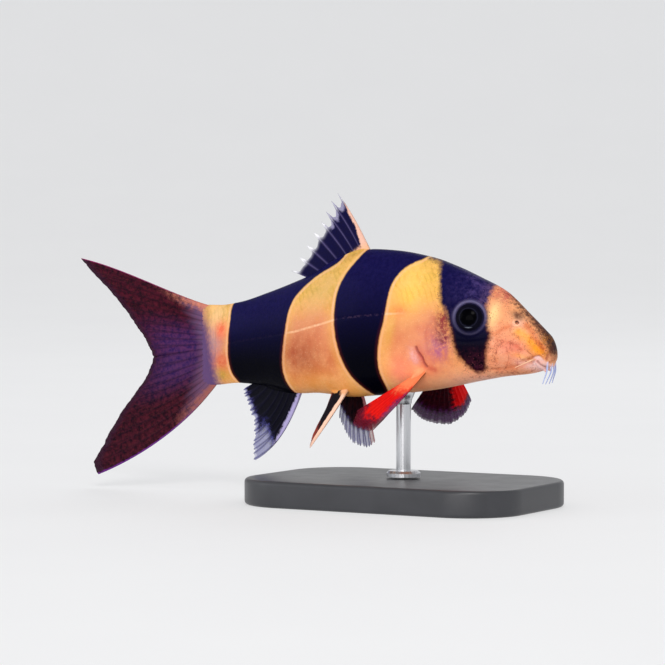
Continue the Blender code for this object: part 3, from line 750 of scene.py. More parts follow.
REAR_BAND = (
    (34.6, 15), (35.0, 11.3), (36.1, 10.2), (37.9, 9.4), (39.7, 8.3), (40.9, 7.3), (42.0, 6.2),
    (43.0, 5.0), (43.7, 2.9), (43.9, 0.6), (44.5, -2.6), (45.0, -5.0), (45.0, -7.4), (44.3, -9.2),
    (43.6, -12), (55.2, -12), (55.8, -8.2), (56.7, -7.2), (57.2, -4.6), (57.0, -1.4), (56.8, 1.4),
    (57.1, 3.8), (57.4, 15),
)
SNOUT_STRIPE = (
    (-2, -3.2), (0.3, -2.6), (1.0, -1.2), (2.1, 0.4), (3.6, 2.0), (4.9, 3.4), (6.2, 4.8),
    (7.2, 5.9), (8.0, 6.7), (8.4, 15), (-2, 15),
)

front_band = depth_in_patch(FRONT_BAND)
rear_bands = np.maximum(depth_in_patch(MIDDLE_BAND), depth_in_patch(REAR_BAND))
top = curve_through(BACK_LINE, station)
bottom = curve_through(BELLY_LINE, station)
give(body_mesh, "front_band", front_band)
give(body_mesh, "rear_bands", rear_bands)
give(body_mesh, "snout_stripe", depth_in_patch(SNOUT_STRIPE))
give(body_mesh, "rise", np.clip((height - bottom) / (top - bottom), -0.1, 1.1))
give(body_mesh, "station", station)
give(body_mesh, "height", height)
give(body_mesh, "slit", distance_to_line(GILL_SLIT))
give(body_mesh, "lateral", distance_to_line(LATERAL_LINE))
above_middle = height - 1.0
give(body_mesh, "segment", station - 0.25 * np.abs(above_middle) - 0.03 * above_middle ** 2)
print("corners inside a band:", int((np.maximum(front_band, rear_bands) > 0).sum()), "of", len(station))

# %% [markdown]
# Between the bands the colour changes softly from place to place: a lilac bruise on the cheek, a
# cream patch in front of the eye, a yellow line from the nostril to the lip, red and yellow at
# the stem. Each is a soft oval or a soft line with its own colour. A soft mask is a plain number
# between 0 and 1 at each corner, and the skin's material lays them on in this order.

# %% Patches and soft lines
PATCHES = (
    # name, middle (station, height), half length and half height, lean, colour, strength
    ("saddle", (21.6, 6.8), (3.0, 4.4), 0.1, (250, 200, 90), 0.9),
    ("saddle_blush", (23.4, 3.4), (1.5, 1.0), -0.1, (240, 122, 66), 0.75),
    ("saddle_ochre", (24.6, 0.6), (0.9, 4.2), 0.15, (222, 170, 76), 0.6),
    ("mid_top", (37.0, 6.6), (5.0, 3.0), -0.5, (206, 170, 94), 0.9),
    ("mid_brown", (41.2, -3.8), (4.8, 3.8), 0.0, (166, 80, 52), 0.92),
    ("belly_gold", (38.0, -8.4), (5.5, 2.2), 0.0, (236, 156, 74), 0.8),
    ("belly_front", (31.6, -9.6), (3.0, 2.0), 0.0, (255, 176, 84), 0.9),
    ("chest_gold", (25.4, -5.6), (1.4, 3.2), 0.0, (236, 172, 80), 0.6),
    ("chest_red", (23.2, -5.8), (2.6, 3.0), 0.2, (255, 150, 118), 0.85),
    ("cheek_wide", (18.4, -1.8), (2.6, 3.6), -0.3, (220, 130, 108), 0.8),
    ("cheek_lilac", (16.6, -1.7), (1.5, 1.8), 0.2, (178, 94, 134), 0.9),
    ("cheek_bruise", (15.9, -0.4), (0.9, 1.0), 0.4, (96, 34, 66), 0.8),
    ("cheek_red", (16.2, 1.4), (1.2, 2.4), 0.1, (132, 46, 56), 0.9),
    # Pale pad beside the gill slit: its own pale skin, with a painted highlight on the raised edge of the
    # gill cover.
    ("slit_pad_highlight", (20.7, -3.2), (0.8, 1.3), -0.3, (240, 176, 176), 0.75),
    ("fin_blush", (19.7, -6.1), (2.6, 1.4), -0.5, (255, 146, 100), 0.95),
    ("forehead", (8.0, 6.1), (1.7, 1.6), 0.8, (188, 74, 72), 0.95),
    ("cream", (8.7, 3.2), (0.85, 2.0), 0.1, (255, 212, 146), 0.95),
    ("snout_pink", (6.4, -1.8), (2.6, 1.5), 0.1, (228, 128, 108), 0.8),
    ("snout_low", (6.6, -4.0), (3.6, 1.2), 0.1, (200, 106, 74), 0.85),
    ("jaw_gold", (3.9, -3.3), (1.5, 0.45), 0.35, (248, 160, 50), 0.9),
    ("chin", (2.9, -4.4), (2.1, 0.8), 0.3, (240, 196, 194), 0.95),
    ("throat", (13.6, -6.6), (6.4, 1.7), -0.2, (255, 172, 130), 1.0),
    ("throat_pink", (11.0, -6.9), (4.0, 0.8), -0.1, (255, 200, 190), 0.7),
    ("ochre_tip", (1.5, -1.6), (1.3, 1.7), 0.3, (186, 120, 40), 0.9),
    ("nostril_flap", (5.1, 1.6), (0.8, 0.9), 0.0, (255, 196, 172), 1.0),
    # Dark spot above the nostril: painted shade of the nostril's opening.
    ("nostril_opening_shade", (5.4, 2.95), (1.0, 0.5), 0.5, (58, 26, 34), 0.95),
    ("muzzle", (0.0, -1.7), (0.7, 1.9), 0.0, (14, 8, 22), 0.95),
    ("stem_pale", (60.6, -2.4), (2.2, 3.4), 0.0, (180, 136, 142), 0.95),
    ("stem_top", (59.6, 2.0), (2.2, 1.9), 0.0, (244, 200, 142), 0.9),
    ("stem_red", (58.7, -0.1), (1.4, 1.4), 0.0, (236, 96, 70), 0.95),
    ("stem_low", (58.6, -5.4), (1.5, 1.6), 0.0, (206, 68, 44), 1.0),
    ("stem_yellow", (59.0, -7.3), (1.8, 1.2), 0.0, (190, 150, 62), 0.95),
)
SOFT_LINES = (
    # name, points (station, height), half width, colour, strength
    ("snout_gold", ((4.9, 0.6), (3.9, -0.1), (2.9, -1.1), (2.0, -2.2)), 0.75, (252, 158, 36), 0.9),
    ("snout_rust", ((4.1, 1.6), (3.1, 0.5), (2.2, -0.8), (1.4, -1.8)), 0.4, (196, 84, 36), 0.7),
    ("eye_to_nostril", ((9.2, 0.5), (8.2, 0.3), (7.2, 1.0), (6.2, 1.4)), 0.3, (206, 100, 62), 0.6),
    # Painted shade: the next five lines darken creases and folds of the head, most of them grooves of the
    # relief.
    ("cheek_crease_shade", CHEEK_FOLD, 0.3, (120, 44, 50), 0.45),
    ("snout_crease_shade", ((8.0, -0.6), (6.6, -0.9), (5.4, -1.2), (4.3, -2.1)), 0.25, (206, 98, 74), 0.55),
    ("mouth_fold_shade", SNOUT_FOLD, 0.24, (150, 74, 34), 0.75),
    ("jaw_crease_shade", JAW_FOLD, 0.3, (206, 104, 66), 0.45),
    ("cover_edge_shade", COVER_EDGE, 0.4, (190, 96, 84), 0.45),
    ("gill_line", ((20.2, -2.2), (19.4, -3.6), (18.9, -4.7), (17.6, -5.2)), 0.45, (200, 70, 62), 0.6),
)


def soft_oval(middle, size, lean):
    along = (station - middle[0]) * math.cos(lean) + (height - middle[1]) * math.sin(lean)
    across = (height - middle[1]) * math.cos(lean) - (station - middle[0]) * math.sin(lean)
    return np.exp(-(along / size[0]) ** 2 - (across / size[1]) ** 2)


for name, middle, size, lean, _, _ in PATCHES:
    give(body_mesh, name, soft_oval(middle, size, lean))
for name, points, width, _, _ in SOFT_LINES:
    give(body_mesh, name, hill(distance_to_line(points), 0, width))
print("soft patches:", len(PATCHES), "soft lines:", len(SOFT_LINES))

# %% [markdown]
# The lips, the pits of the nostrils and the rims of the eyes have colours of their own that end
# where their shape ends. A distance through space, from the line of the mouth, the middle of a
# nostril or the way that an eye looks, finds them on both flanks at once.

# %% Distances from eyes, mouth and nostrils
FARTHEST_STORED = 50
BEHIND_EYE = 1.5
MOUTH_PLACES = 40


def nearest_of(points):
    nearest = np.full(len(corners), FAR)
    for point in points:
        nearest = np.minimum(nearest, np.linalg.norm(corners - point, axis=1))
    return nearest


mouth_line = [mouth_frame(share)[0] for share in np.linspace(-1, 1, MOUTH_PLACES)]
nostrils = [skin_at(NOSTRIL_STATION, NOSTRIL_HEIGHT, side)[0] for side in (-1, 1)]
give(body_mesh, "mouth", nearest_of(mouth_line))
give(body_mesh, "nostril", nearest_of(nostrils))
eye_distance = np.full(len(corners), FAR)
eye_above = np.zeros(len(corners))
for side in (-1, 1):
    centre, looks = eye_pose(side)
    offset = corners - centre
    forward = offset @ looks
    away = np.linalg.norm(offset - np.outer(forward, looks), axis=1)
    near = (forward > -BEHIND_EYE) & (away < eye_distance)
    eye_distance = np.where(near, away, eye_distance)
    eye_above = np.where(near, offset[:, 2], eye_above)
give(body_mesh, "eye_distance", np.minimum(eye_distance, FARTHEST_STORED))
give(body_mesh, "eye_above", np.clip(eye_above / EYE_RADIUS, -1, 1))

body = piece_from("loach_body", body_mesh, ("head", "trunk", "tail_stem"))

# %% [markdown]
# ## Shader helpers
#
# A material is a tree of small nodes. These helpers add a node, set or link its inputs by name,
# and make a node group with named sockets, so that an effect such as a ragged edge is built once
# and used by the skin and by every fin with its own values.

# %% Node helpers


def feed(tree, socket, value):
    """Links an input to another node's output, or sets it to a constant."""
    if isinstance(value, bpy.types.NodeSocket):
        tree.links.new(value, socket)
    else:
        socket.default_value = value


def node(tree, kind, inputs=None, **settings):
    made = tree.nodes.new(kind)
    for name, value in settings.items():
        setattr(made, name, value)
    for name, value in (inputs or {}).items():
        feed(tree, made.inputs[name], value)
    return made


def math_node(tree, operation, *values):
    made = node(tree, "ShaderNodeMath", dict(enumerate(values)), operation=operation)
    return made.outputs[0]


def ramp_of(tree, value, low, high):
    """0 below low, 1 above high and smooth between."""
    made = node(tree, "ShaderNodeMapRange", {
        "Value": value, "From Min": low, "From Max": high,
    }, interpolation_type="SMOOTHSTEP")
    return made.outputs["Result"]


def mix(tree, factor, first, second):
    """Mixes two colours by a mask. The colour sockets of this node are its seventh and eighth."""
    made = tree.nodes.new("ShaderNodeMix")
    made.data_type = "RGBA"
    for index, value in ((0, factor), (6, first), (7, second)):
        feed(tree, made.inputs[index], value)
    return made.outputs[2]


def read(tree, name):
    """The number stored by this name at each corner."""
    made = tree.nodes.new("ShaderNodeAttribute")
    made.attribute_name = name
    return made.outputs["Fac"]


def noise(tree, scale, detail=3.0, roughness=0.55, vector=None):
    """Noise in the piece's own space. scale counts cells to the millimetre."""
    if vector is None:
        vector = node(tree, "ShaderNodeTexCoord").outputs["Object"]
    made = node(tree, "ShaderNodeTexNoise", {
        "Vector": vector, "Scale": scale / MM, "Detail": detail, "Roughness": roughness,
    })
    return made.outputs["Fac"]


def srgb(red, green, blue):
    """A colour given as a screen shows it, from 0 to 255, turned into light."""
    def linear(value):
        share = value / 255
        return share / 12.92 if share <= 0.04045 else ((share + 0.055) / 1.055) ** 2.4

    return (linear(red), linear(green), linear(blue), 1.0)


def group(name, inputs, outputs):
    """A new node group with named sockets. inputs maps a name to (kind, default)."""
    tree = bpy.data.node_groups.new(name, "ShaderNodeTree")
    for label, (kind, default) in inputs.items():
        socket = tree.interface.new_socket(label, in_out="INPUT", socket_type="NodeSocket" + kind)
        socket.default_value = default
    for label, kind in outputs.items():
        tree.interface.new_socket(label, in_out="OUTPUT", socket_type="NodeSocket" + kind)
    start = tree.nodes.new("NodeGroupInput")
    end = tree.nodes.new("NodeGroupOutput")
    return tree, start.outputs, end.inputs


def use(tree, made_group, **values):
    """Places a node group in a tree and sets or links its inputs."""
    made = tree.nodes.new("ShaderNodeGroup")
    made.node_tree = made_group
    for name, value in values.items():
        feed(tree, made.inputs[name], value)
    return made.outputs


def bumped(tree, shader, height, strength, distance):
    """Lets a height tilt the light on a finish. distance is the depth of a full bump in mm."""
    bump = node(tree, "ShaderNodeBump", {
        "Height": height, "Strength": strength, "Distance": distance * MM,
    })
    tree.links.new(bump.outputs["Normal"], shader.inputs["Normal"])


def new_material(name):
    made = bpy.data.materials.new(name)
    made.use_nodes = True
    return made, made.node_tree, made.node_tree.nodes["Principled BSDF"]


# %% [markdown]
# The first group turns a stored distance into a mask with a ragged edge: noise is added to the
# distance before the threshold, so the edge wanders by about that many millimetres. The second
# is the fine grain of a scaleless skin: a height for the bump and a speckle of tiny dark and
# pale dots, which on the fish are its pigment cells.

# %% Groups: ragged edge and skin grain
ragged_edge, gin, gout = group(
    "ragged edge",
    {
        "Depth": ("Float", 0.0), "Softness": ("Float", 0.1), "Wander": ("Float", 0.2),
        "Cells": ("Float", 2.0),
    },
    {"Mask": "Float"},
)
tree = ragged_edge
wander = node(tree, "ShaderNodeTexNoise", {
    "Vector": node(tree, "ShaderNodeTexCoord").outputs["Object"],
    "Scale": math_node(tree, "MULTIPLY", gin["Cells"], 1 / MM), "Detail": 4.0, "Roughness": 0.65,
}).outputs["Fac"]
shift = math_node(tree, "MULTIPLY", math_node(tree, "SUBTRACT", wander, 0.5), gin["Wander"])
depth = math_node(tree, "ADD", gin["Depth"], math_node(tree, "MULTIPLY", shift, 2.0))
low = math_node(tree, "MULTIPLY", gin["Softness"], -1.0)
tree.links.new(ramp_of(tree, depth, low, gin["Softness"]), gout["Mask"])

skin_grain, gin, gout = group(
    "skin grain",
    {"Cells": ("Float", 5.0)},
    {
        "Height": "Float", "Dark Dots": "Float", "Pale Dots": "Float", "Mottle": "Float",
        "Clouds": "Float",
    },
)
tree = skin_grain
coordinates = node(tree, "ShaderNodeTexCoord").outputs["Object"]
scale = math_node(tree, "MULTIPLY", gin["Cells"], 1 / MM)
dots = node(tree, "ShaderNodeTexVoronoi", {"Vector": coordinates, "Scale": scale})
fine = node(tree, "ShaderNodeTexNoise", {"Vector": coordinates, "Scale": scale, "Detail": 3.0})
middling = node(tree, "ShaderNodeTexNoise", {
    "Vector": coordinates, "Scale": math_node(tree, "MULTIPLY", scale, 0.4), "Detail": 4.0,
    "Roughness": 0.7,
})
broad = node(tree, "ShaderNodeTexNoise", {
    "Vector": coordinates, "Scale": math_node(tree, "MULTIPLY", scale, 0.09), "Detail": 3.0,
})
pick = node(tree, "ShaderNodeSeparateColor", {"Color": dots.outputs["Color"]})
near = math_node(tree, "SUBTRACT", 1.0, ramp_of(tree, dots.outputs["Distance"], 0.15, 0.42))
chosen = math_node(tree, "GREATER_THAN", pick.outputs["Red"], 0.6)
other = math_node(tree, "LESS_THAN", pick.outputs["Red"], 0.28)
tree.links.new(math_node(tree, "MULTIPLY", near, chosen), gout["Dark Dots"])
tree.links.new(math_node(tree, "MULTIPLY", near, other), gout["Pale Dots"])
tree.links.new(ramp_of(tree, middling.outputs["Fac"], 0.3, 0.7), gout["Mottle"])
tree.links.new(ramp_of(tree, broad.outputs["Fac"], 0.3, 0.7), gout["Clouds"])
bumps = math_node(tree, "MULTIPLY", dots.outputs["Distance"], 0.6)
tree.links.new(math_node(tree, "ADD", bumps, fine.outputs["Fac"]), gout["Height"])
print("groups:", [g.name for g in bpy.data.node_groups])

# %% [markdown]
# ## The skin's finish
#
# From the belly up, the flank goes from gold through orange to yellow along the back. The soft
# patches are laid over that, then the freckles, and the black bands come last. The blacks are
# not one colour: violet and mottled near the back, which is a painted reflection of a blue
# surround, and brown-black below. Under a wet film the skin scatters light a little, so the
# shader has some subsurface scattering and a thin clear coat.

# %% Skin material: flank and patches
skin_finish, tree, shader = new_material("skin_finish")
grain = use(tree, skin_grain, Cells=4.2)


def times(*factors):
    """The product of masks and numbers."""
    total = factors[0]
    for factor in factors[1:]:
        total = math_node(tree, "MULTIPLY", total, factor)
    return total


def less(value):
    """One minus a mask."""
    return math_node(tree, "SUBTRACT", 1.0, value)


def over(under, mask, *tint):
    """Lays a colour, given from 0 to 255, over another one as strongly as the mask says."""
    return mix(tree, mask, under, srgb(*tint))


def grows(name, low, high):
    """A mask that rises from 0 to 1 while a stored number goes from low to high."""
    return ramp_of(tree, read(tree, name), low, high)


def fades(name, low, high):
    """A mask that falls from 1 to 0 while a stored number goes from low to high."""
    return less(grows(name, low, high))


def near_value(value, middle, full, gone):
    """A mask of 1 where a value is within full of the middle, and of 0 beyond gone."""
    off = math_node(tree, "ABSOLUTE", math_node(tree, "SUBTRACT", value, middle))
    return less(ramp_of(tree, off, full, gone))


def about_zero(value):
    """A noise or mottle between 0 and 1, moved so that it strays about 0."""
    return math_node(tree, "SUBTRACT", value, 0.5)


def ragged(name, softness, wander, cells):
    """The mask of a band or stripe whose depth is stored by this name."""
    made = use(tree, ragged_edge, Depth=read(tree, name), Softness=softness, Wander=wander, Cells=cells)
    return made["Mask"]


rise = read(tree, "rise")
wobble = times(about_zero(grain["Clouds"]), 0.12)
ramp = node(tree, "ShaderNodeValToRGB", {"Fac": math_node(tree, "ADD", rise, wobble)})
stops = (
    (0.0, srgb(246, 178, 124)), (0.14, srgb(240, 156, 96)), (0.32, srgb(216, 122, 78)),
    (0.56, srgb(216, 132, 96)), (0.66, srgb(228, 152, 96)), (0.88, srgb(236, 182, 92)),
    (1.0, srgb(212, 164, 88)),
)
while len(ramp.color_ramp.elements) < len(stops):
    ramp.color_ramp.elements.new(0.5)
for element, (position, stop) in zip(ramp.color_ramp.elements, stops):
    element.position = position
    element.color = stop
colour = ramp.outputs["Color"]

head_share = fades("station", 10.0, 17.0)
colour = over(colour, times(head_share, 0.8), 234, 152, 112)
band_depth = math_node(tree, "MAXIMUM", read(tree, "front_band"), read(tree, "rear_bands"))
beside_band = ramp_of(tree, band_depth, -2.4, -0.2)
colour = over(colour, times(beside_band, less(head_share), 0.5), 232, 176, 84)
MOTTLED = {
    "cheek_lilac": 1.7, "cheek_bruise": 2.2, "cheek_red": 1.6, "slit_pad_highlight": 1.2, "stem_pale": 0.8,
    "ochre_tip": 1.8, "forehead": 1.2, "cheek_wide": 0.8, "stem_red": 0.6, "stem_low": 0.6,
}
MOTTLED_ELSE = 0.35
for name, _, _, _, tint, strength in PATCHES:
    mottling = MOTTLED.get(name, MOTTLED_ELSE)
    broken_up = times(about_zero(grain["Mottle"]), mottling, read(tree, name))
    soft = math_node(tree, "ADD", read(tree, name), broken_up)
    colour = over(colour, times(soft, strength), *tint)
for name, _, _, tint, strength in SOFT_LINES:
    colour = over(colour, times(read(tree, name), strength), *tint)

# %% [markdown]
# Close up, the skin is anything but even. A pale lateral line runs along the middle of the flank
# and weakens under the rear band. The muscle segments show as faint furrows near the back. On
# the loose skin of cheek and throat there are fine creases, which are drawn where a noise passes
# its middle value, because such lines wander and branch like folds. Each crease is darkened with
# painted shade and has a pale painted highlight beside it. Dark and pale freckles lie over all of it.

# %% Skin material: grain, lines and freckles
SEGMENT_LENGTH = 0.95
line = times(fades("lateral", 0.05, 0.26), grows("station", 21.5, 25.0))
line = times(line, less(times(grows("station", 42.5, 44.5), 0.85)))
line = times(line, fades("station", 54.0, 57.5))
line_shown = times(line, 0.5, math_node(tree, "ADD", 0.4, grain["Mottle"]))
colour = over(colour, line_shown, 255, 214, 172)
colour = over(colour, times(grain["Mottle"], 0.16), 184, 92, 60)
colour = over(colour, times(less(grain["Clouds"]), 0.16), 255, 206, 150)
olive = times(ramp_of(tree, rise, 0.66, 0.9), grain["Clouds"], grain["Mottle"])
colour = over(colour, times(olive, less(head_share), 0.35), 168, 150, 60)
straying = times(about_zero(noise(tree, 0.45, 2.0)), 1.8)
strayed = math_node(tree, "ADD", read(tree, "segment"), straying)
segment = math_node(tree, "SINE", math_node(tree, "MULTIPLY", strayed, math.tau / SEGMENT_LENGTH))
furrow = times(ramp_of(tree, segment, 0.1, 1.0), less(head_share), grain["Clouds"])
colour = over(colour, times(furrow, ramp_of(tree, rise, 0.5, 0.8), 0.34), 178, 138, 56)
loose_skin = times(head_share, grows("height", 3.0, -1.0), fades("front_band", -0.6, 0.0))
folds = noise(tree, 0.55, 5.0, 0.6)
creases = near_value(folds, 0.5, 0.0, 0.035)
# Painted shade along the creases of the loose skin.
colour = over(colour, times(loose_skin, creases, grain["Mottle"], 0.8), 150, 74, 60)
# Painted highlight on the pale side of each crease.
painted_fold_highlights = ramp_of(tree, folds, 0.53, 0.62)
colour = over(colour, times(loose_skin, painted_fold_highlights, 0.12), 255, 204, 176)
head_freckles = times(grain["Dark Dots"], math_node(tree, "ADD", 0.1, times(head_share, 0.36)))
colour = over(colour, head_freckles, 150, 74, 58)
colour = over(colour, times(grain["Pale Dots"], 0.16), 255, 226, 176)

# %% [markdown]
# The two rear bands have a clean edge with a thin pale rim. The band through the eye and the
# stripe on the snout end in scattered dots instead. Inside, the colour of the bands is mixed the
# same way as the flank: a dark ground that turns blue higher up and mottled violet near the back
# and on the head, which are a painted reflection of a blue surround, then violet mottle at the
# front band's edge on the head and rust at the low edges.

# %% Skin material: bands and stripe
front_mask = ragged("front_band", 0.5, 0.5, 1.7)
rear_mask = ragged("rear_bands", 0.16, 0.12, 1.2)
pale_rim = near_value(read(tree, "rear_bands"), -0.32, 0.05, 0.34)
colour = over(colour, times(pale_rim, 0.16), 246, 196, 160)
colour = over(colour, times(pale_rim, grain["Clouds"], 0.45), 246, 190, 156)
stray = times(grows("front_band", -1.3, 0.1), grain["Dark Dots"], 0.75)
colour = over(colour, stray, 54, 28, 48)
# The band black turns blue higher up: a painted reflection of a blue surround.
dark = mix(tree, ramp_of(tree, rise, 0.2, 0.95), srgb(0, 0, 8), srgb(14, 11, 60))
# Mottled violet near the back: a painted reflection of a blue surround.
violet = times(grain["Mottle"], ramp_of(tree, rise, 0.45, 1.0), 0.3)
dark = over(dark, violet, 38, 32, 92)
# Mottled violet on the head, stronger higher up: a painted reflection of a blue surround.
front_blue_reflection = times(head_share, grain["Mottle"], grain["Clouds"], grows("height", -0.5, 4.5))
dark = over(dark, times(front_blue_reflection, 0.85), 90, 72, 130)
# Violet mottle just inside the front band's edge on the head, stronger higher up.
band_edge = fades("front_band", 0.2, 2.0)
edge_violet_mottle = times(head_share, grain["Mottle"], band_edge, grows("height", 1.0, 5.0))
dark = over(dark, times(edge_violet_mottle, 0.7), 96, 72, 104)
line_in_band = times(line, ramp_of(tree, grain["Mottle"], 0.4, 0.8), 0.25)
dark = over(dark, line_in_band, 96, 70, 96)
rusty = times(less(ramp_of(tree, band_depth, 0.1, 0.75)), less(ramp_of(tree, rise, 0.35, 0.75)))
dark = over(dark, times(rusty, 0.5), 74, 20, 22)
low_front = times(head_share, fades("height", -4.8, -0.6))
dark = over(dark, times(low_front, grain["Mottle"], 0.7), 74, 24, 44)
dark = over(dark, times(low_front, grain["Pale Dots"], 0.5), 140, 74, 76)
stripe = ragged("snout_stripe", 0.5, 1.2, 2.2)
stripe_core = grows("snout_stripe", 0.0, 0.9)
stripe_dark = mix(tree, times(grain["Mottle"], 0.5), srgb(8, 5, 24), srgb(60, 26, 42))
ochre = times(read(tree, "ochre_tip"), ramp_of(tree, grain["Mottle"], 0.35, 0.75))
ochre = times(ochre, less(read(tree, "muzzle")))
stripe_dark = over(stripe_dark, times(ochre, 0.9), 168, 108, 40)
stripe_strength = math_node(tree, "ADD", 0.8, times(stripe_core, 0.2))
colour = mix(tree, times(stripe, stripe_strength), colour, stripe_dark)
stray = times(grows("snout_stripe", -1.8, 0.2), grain["Dark Dots"], 0.8)
colour = over(colour, stray, 58, 30, 40)
colour = mix(tree, math_node(tree, "MAXIMUM", front_mask, rear_mask), colour, dark)

# %% [markdown]
# Last come the parts with an edge of their own: the violet rims of the eyes with a painted
# highlight along their inner edge, stronger above, the pink lips with painted shade in the mouth
# between them, and painted shade in the gill slit and in the pits of the nostrils.
# The skin ends on a slant at the tail, where it takes on the tail fin's grey.

# %% Skin material: eye rims, lips, slit and tail edge
lid = times(fades("eye_distance", 2.6, 2.95), grows("eye_above", -1.1, 0.5))
colour = over(colour, times(lid, 0.75), 62, 56, 88)
# Painted highlight along the inner edge of the eye rim, stronger above, where the light falls.
painted_rim_highlight = near_value(read(tree, "eye_distance"), 2.4, 0.02, 0.3)
above = math_node(tree, "ADD", 0.12, times(grows("eye_above", -0.6, 0.8), 0.4))
colour = over(colour, times(painted_rim_highlight, above), 124, 118, 156)
lips = fades("mouth", 0.62, 0.98)
lip_strength = math_node(tree, "ADD", 0.45, times(grain["Mottle"], 0.35))
colour = over(colour, times(lips, lip_strength), 238, 200, 198)
# Painted shade in the opening of the mouth between the lips.
painted_mouth_shade = fades("mouth", 0.1, 0.3)
colour = over(colour, times(painted_mouth_shade, 0.65), 132, 60, 56)
# Painted shade in the gill slit.
painted_slit_shade = fades("slit", 0.05, 0.34)
colour = over(colour, times(painted_slit_shade, 0.6), 128, 48, 54)
# Painted shade in the pits of the nostrils.
pits = fades("nostril", 0.26, 0.4)
colour = over(colour, times(pits, 0.85), 70, 28, 34)
strayed = math_node(tree, "ADD", read(tree, "station"), times(about_zero(grain["Mottle"]), 0.6))
slant = times(math_node(tree, "ADD", read(tree, "height"), 2.8), 0.28)
tail_edge = ramp_of(tree, math_node(tree, "SUBTRACT", strayed, slant), 59.8, 62.9)
tail_colour = mix(tree, grows("height", -0.2, 2.8), srgb(96, 70, 112), srgb(180, 120, 112))
colour = mix(tree, tail_edge, colour, tail_colour)
tree.links.new(colour, shader.inputs["Base Color"])

bumps = math_node(tree, "SUBTRACT", grain["Height"], times(loose_skin, creases, 1.6))
bumped(tree, shader, bumps, 0.3, 0.12)
rough = math_node(tree, "ADD", 0.28, times(grain["Mottle"], 0.2))
tree.links.new(rough, shader.inputs["Roughness"])
shader.inputs["Specular IOR Level"].default_value = 0.02
shader.inputs["Subsurface Weight"].default_value = 0.1
shader.inputs["Subsurface Radius"].default_value = (1.0, 0.35, 0.2)
shader.inputs["Subsurface Scale"].default_value = 0.0005
shader.inputs["Coat Weight"].default_value = 0.025
shader.inputs["Coat Roughness"].default_value = 0.12
body.data.materials.clear()
body.data.materials.append(skin_finish)
print("skin nodes:", len(tree.nodes))

# %% [markdown]
# ## The eyes
#
# The eye is a slightly flattened ball with a clear front. Its iris is nearly black with a thin
# broken ring of silver round the pupil, and a pale curved mark below the pupil is a painted glint.
# One closed ball is enough at this size: the distance from the way it looks is stored at each
# corner, and the material draws pupil, ring, iris and painted glint from it under a clear coat,
# which gives the wet highlight.

# %% Eyeballs
eye_finish, tree, shader = new_material("eye_finish")
distance = read(tree, "from_pupil")
wavy = math_node(tree, "ADD", distance, times(about_zero(noise(tree, 2.2)), 0.2))
iris = mix(tree, ramp_of(tree, wavy, 1.05, 1.45), srgb(0, 0, 2), srgb(10, 9, 22))
silver = near_value(wavy, 1.38, 0.02, 0.14)
iris = over(iris, times(silver, 0.07), 90, 92, 124)
# Painted glint: a pale curved mark below the pupil, standing in for a reflection.
painted_glint = times(near_value(distance, 1.5, 0.03, 0.13), fades("up", -0.61, -0.5))
iris = over(iris, times(painted_glint, 0.85), 150, 158, 176)
iris = over(iris, ramp_of(tree, wavy, 1.9, 2.2), 34, 32, 62)
tree.links.new(iris, shader.inputs["Base Color"])
shader.inputs["Roughness"].default_value = 0.3
shader.inputs["Specular IOR Level"].default_value = 0.01
shader.inputs["Coat Weight"].default_value = 0.025
shader.inputs["Coat Roughness"].default_value = 0.06
for side, word in ((-1, "right"), (1, "left")):
    centre, looks = eye_pose(side)
    radii = (EYE_RADIUS, EYE_RADIUS, EYE_RADIUS * EYE_FLATNESS)
    made_corners, made_faces = ball(centre, radii, looks, 64, 40)
    mesh = closed_mesh("eyeball", made_corners, made_faces)
    offset = made_corners - centre
    off_axis = np.linalg.norm(offset - np.outer(offset @ looks, looks), axis=1)
    give(mesh, "from_pupil", np.where(offset @ looks > 0, off_axis, EYE_RADIUS))
    give(mesh, "up", offset[:, 2] / EYE_RADIUS)
    eyeball = piece_from(f"eyeball_{word}", mesh, (f"eye_{word}",))
    eyeball.data.materials.append(eye_finish)

# %% [markdown]
# ## The fins
#
# A fin is a web of skin stretched between soft rays that fan out and split towards their tips.
# Each is a thin closed plate here. Across it, the thickness swells at every ray, and past the
# middle of a ray the swelling parts into two. The web ends a little short of the tips, and no
# two rays are quite as long, so the edge is uneven. The shapes repeat the solids' own root and
# tip lines, on a much finer grid.

# %% Fin maker
FIN_COLUMNS_PER_RAY = 12
FIN_ROWS = 60
RAY_SPLIT = 0.45
TIP_THINNING = 0.65
chance = np.random.default_rng(11)


def along_line(line, share):
    """Points on a smooth line through (share, point) knots, at an array of shares."""
    width = len(line[0][1])
    values = [curve_through([(k[0], k[1][axis]) for k in line], share) for axis in range(width)]
    return np.stack(values, axis=-1)


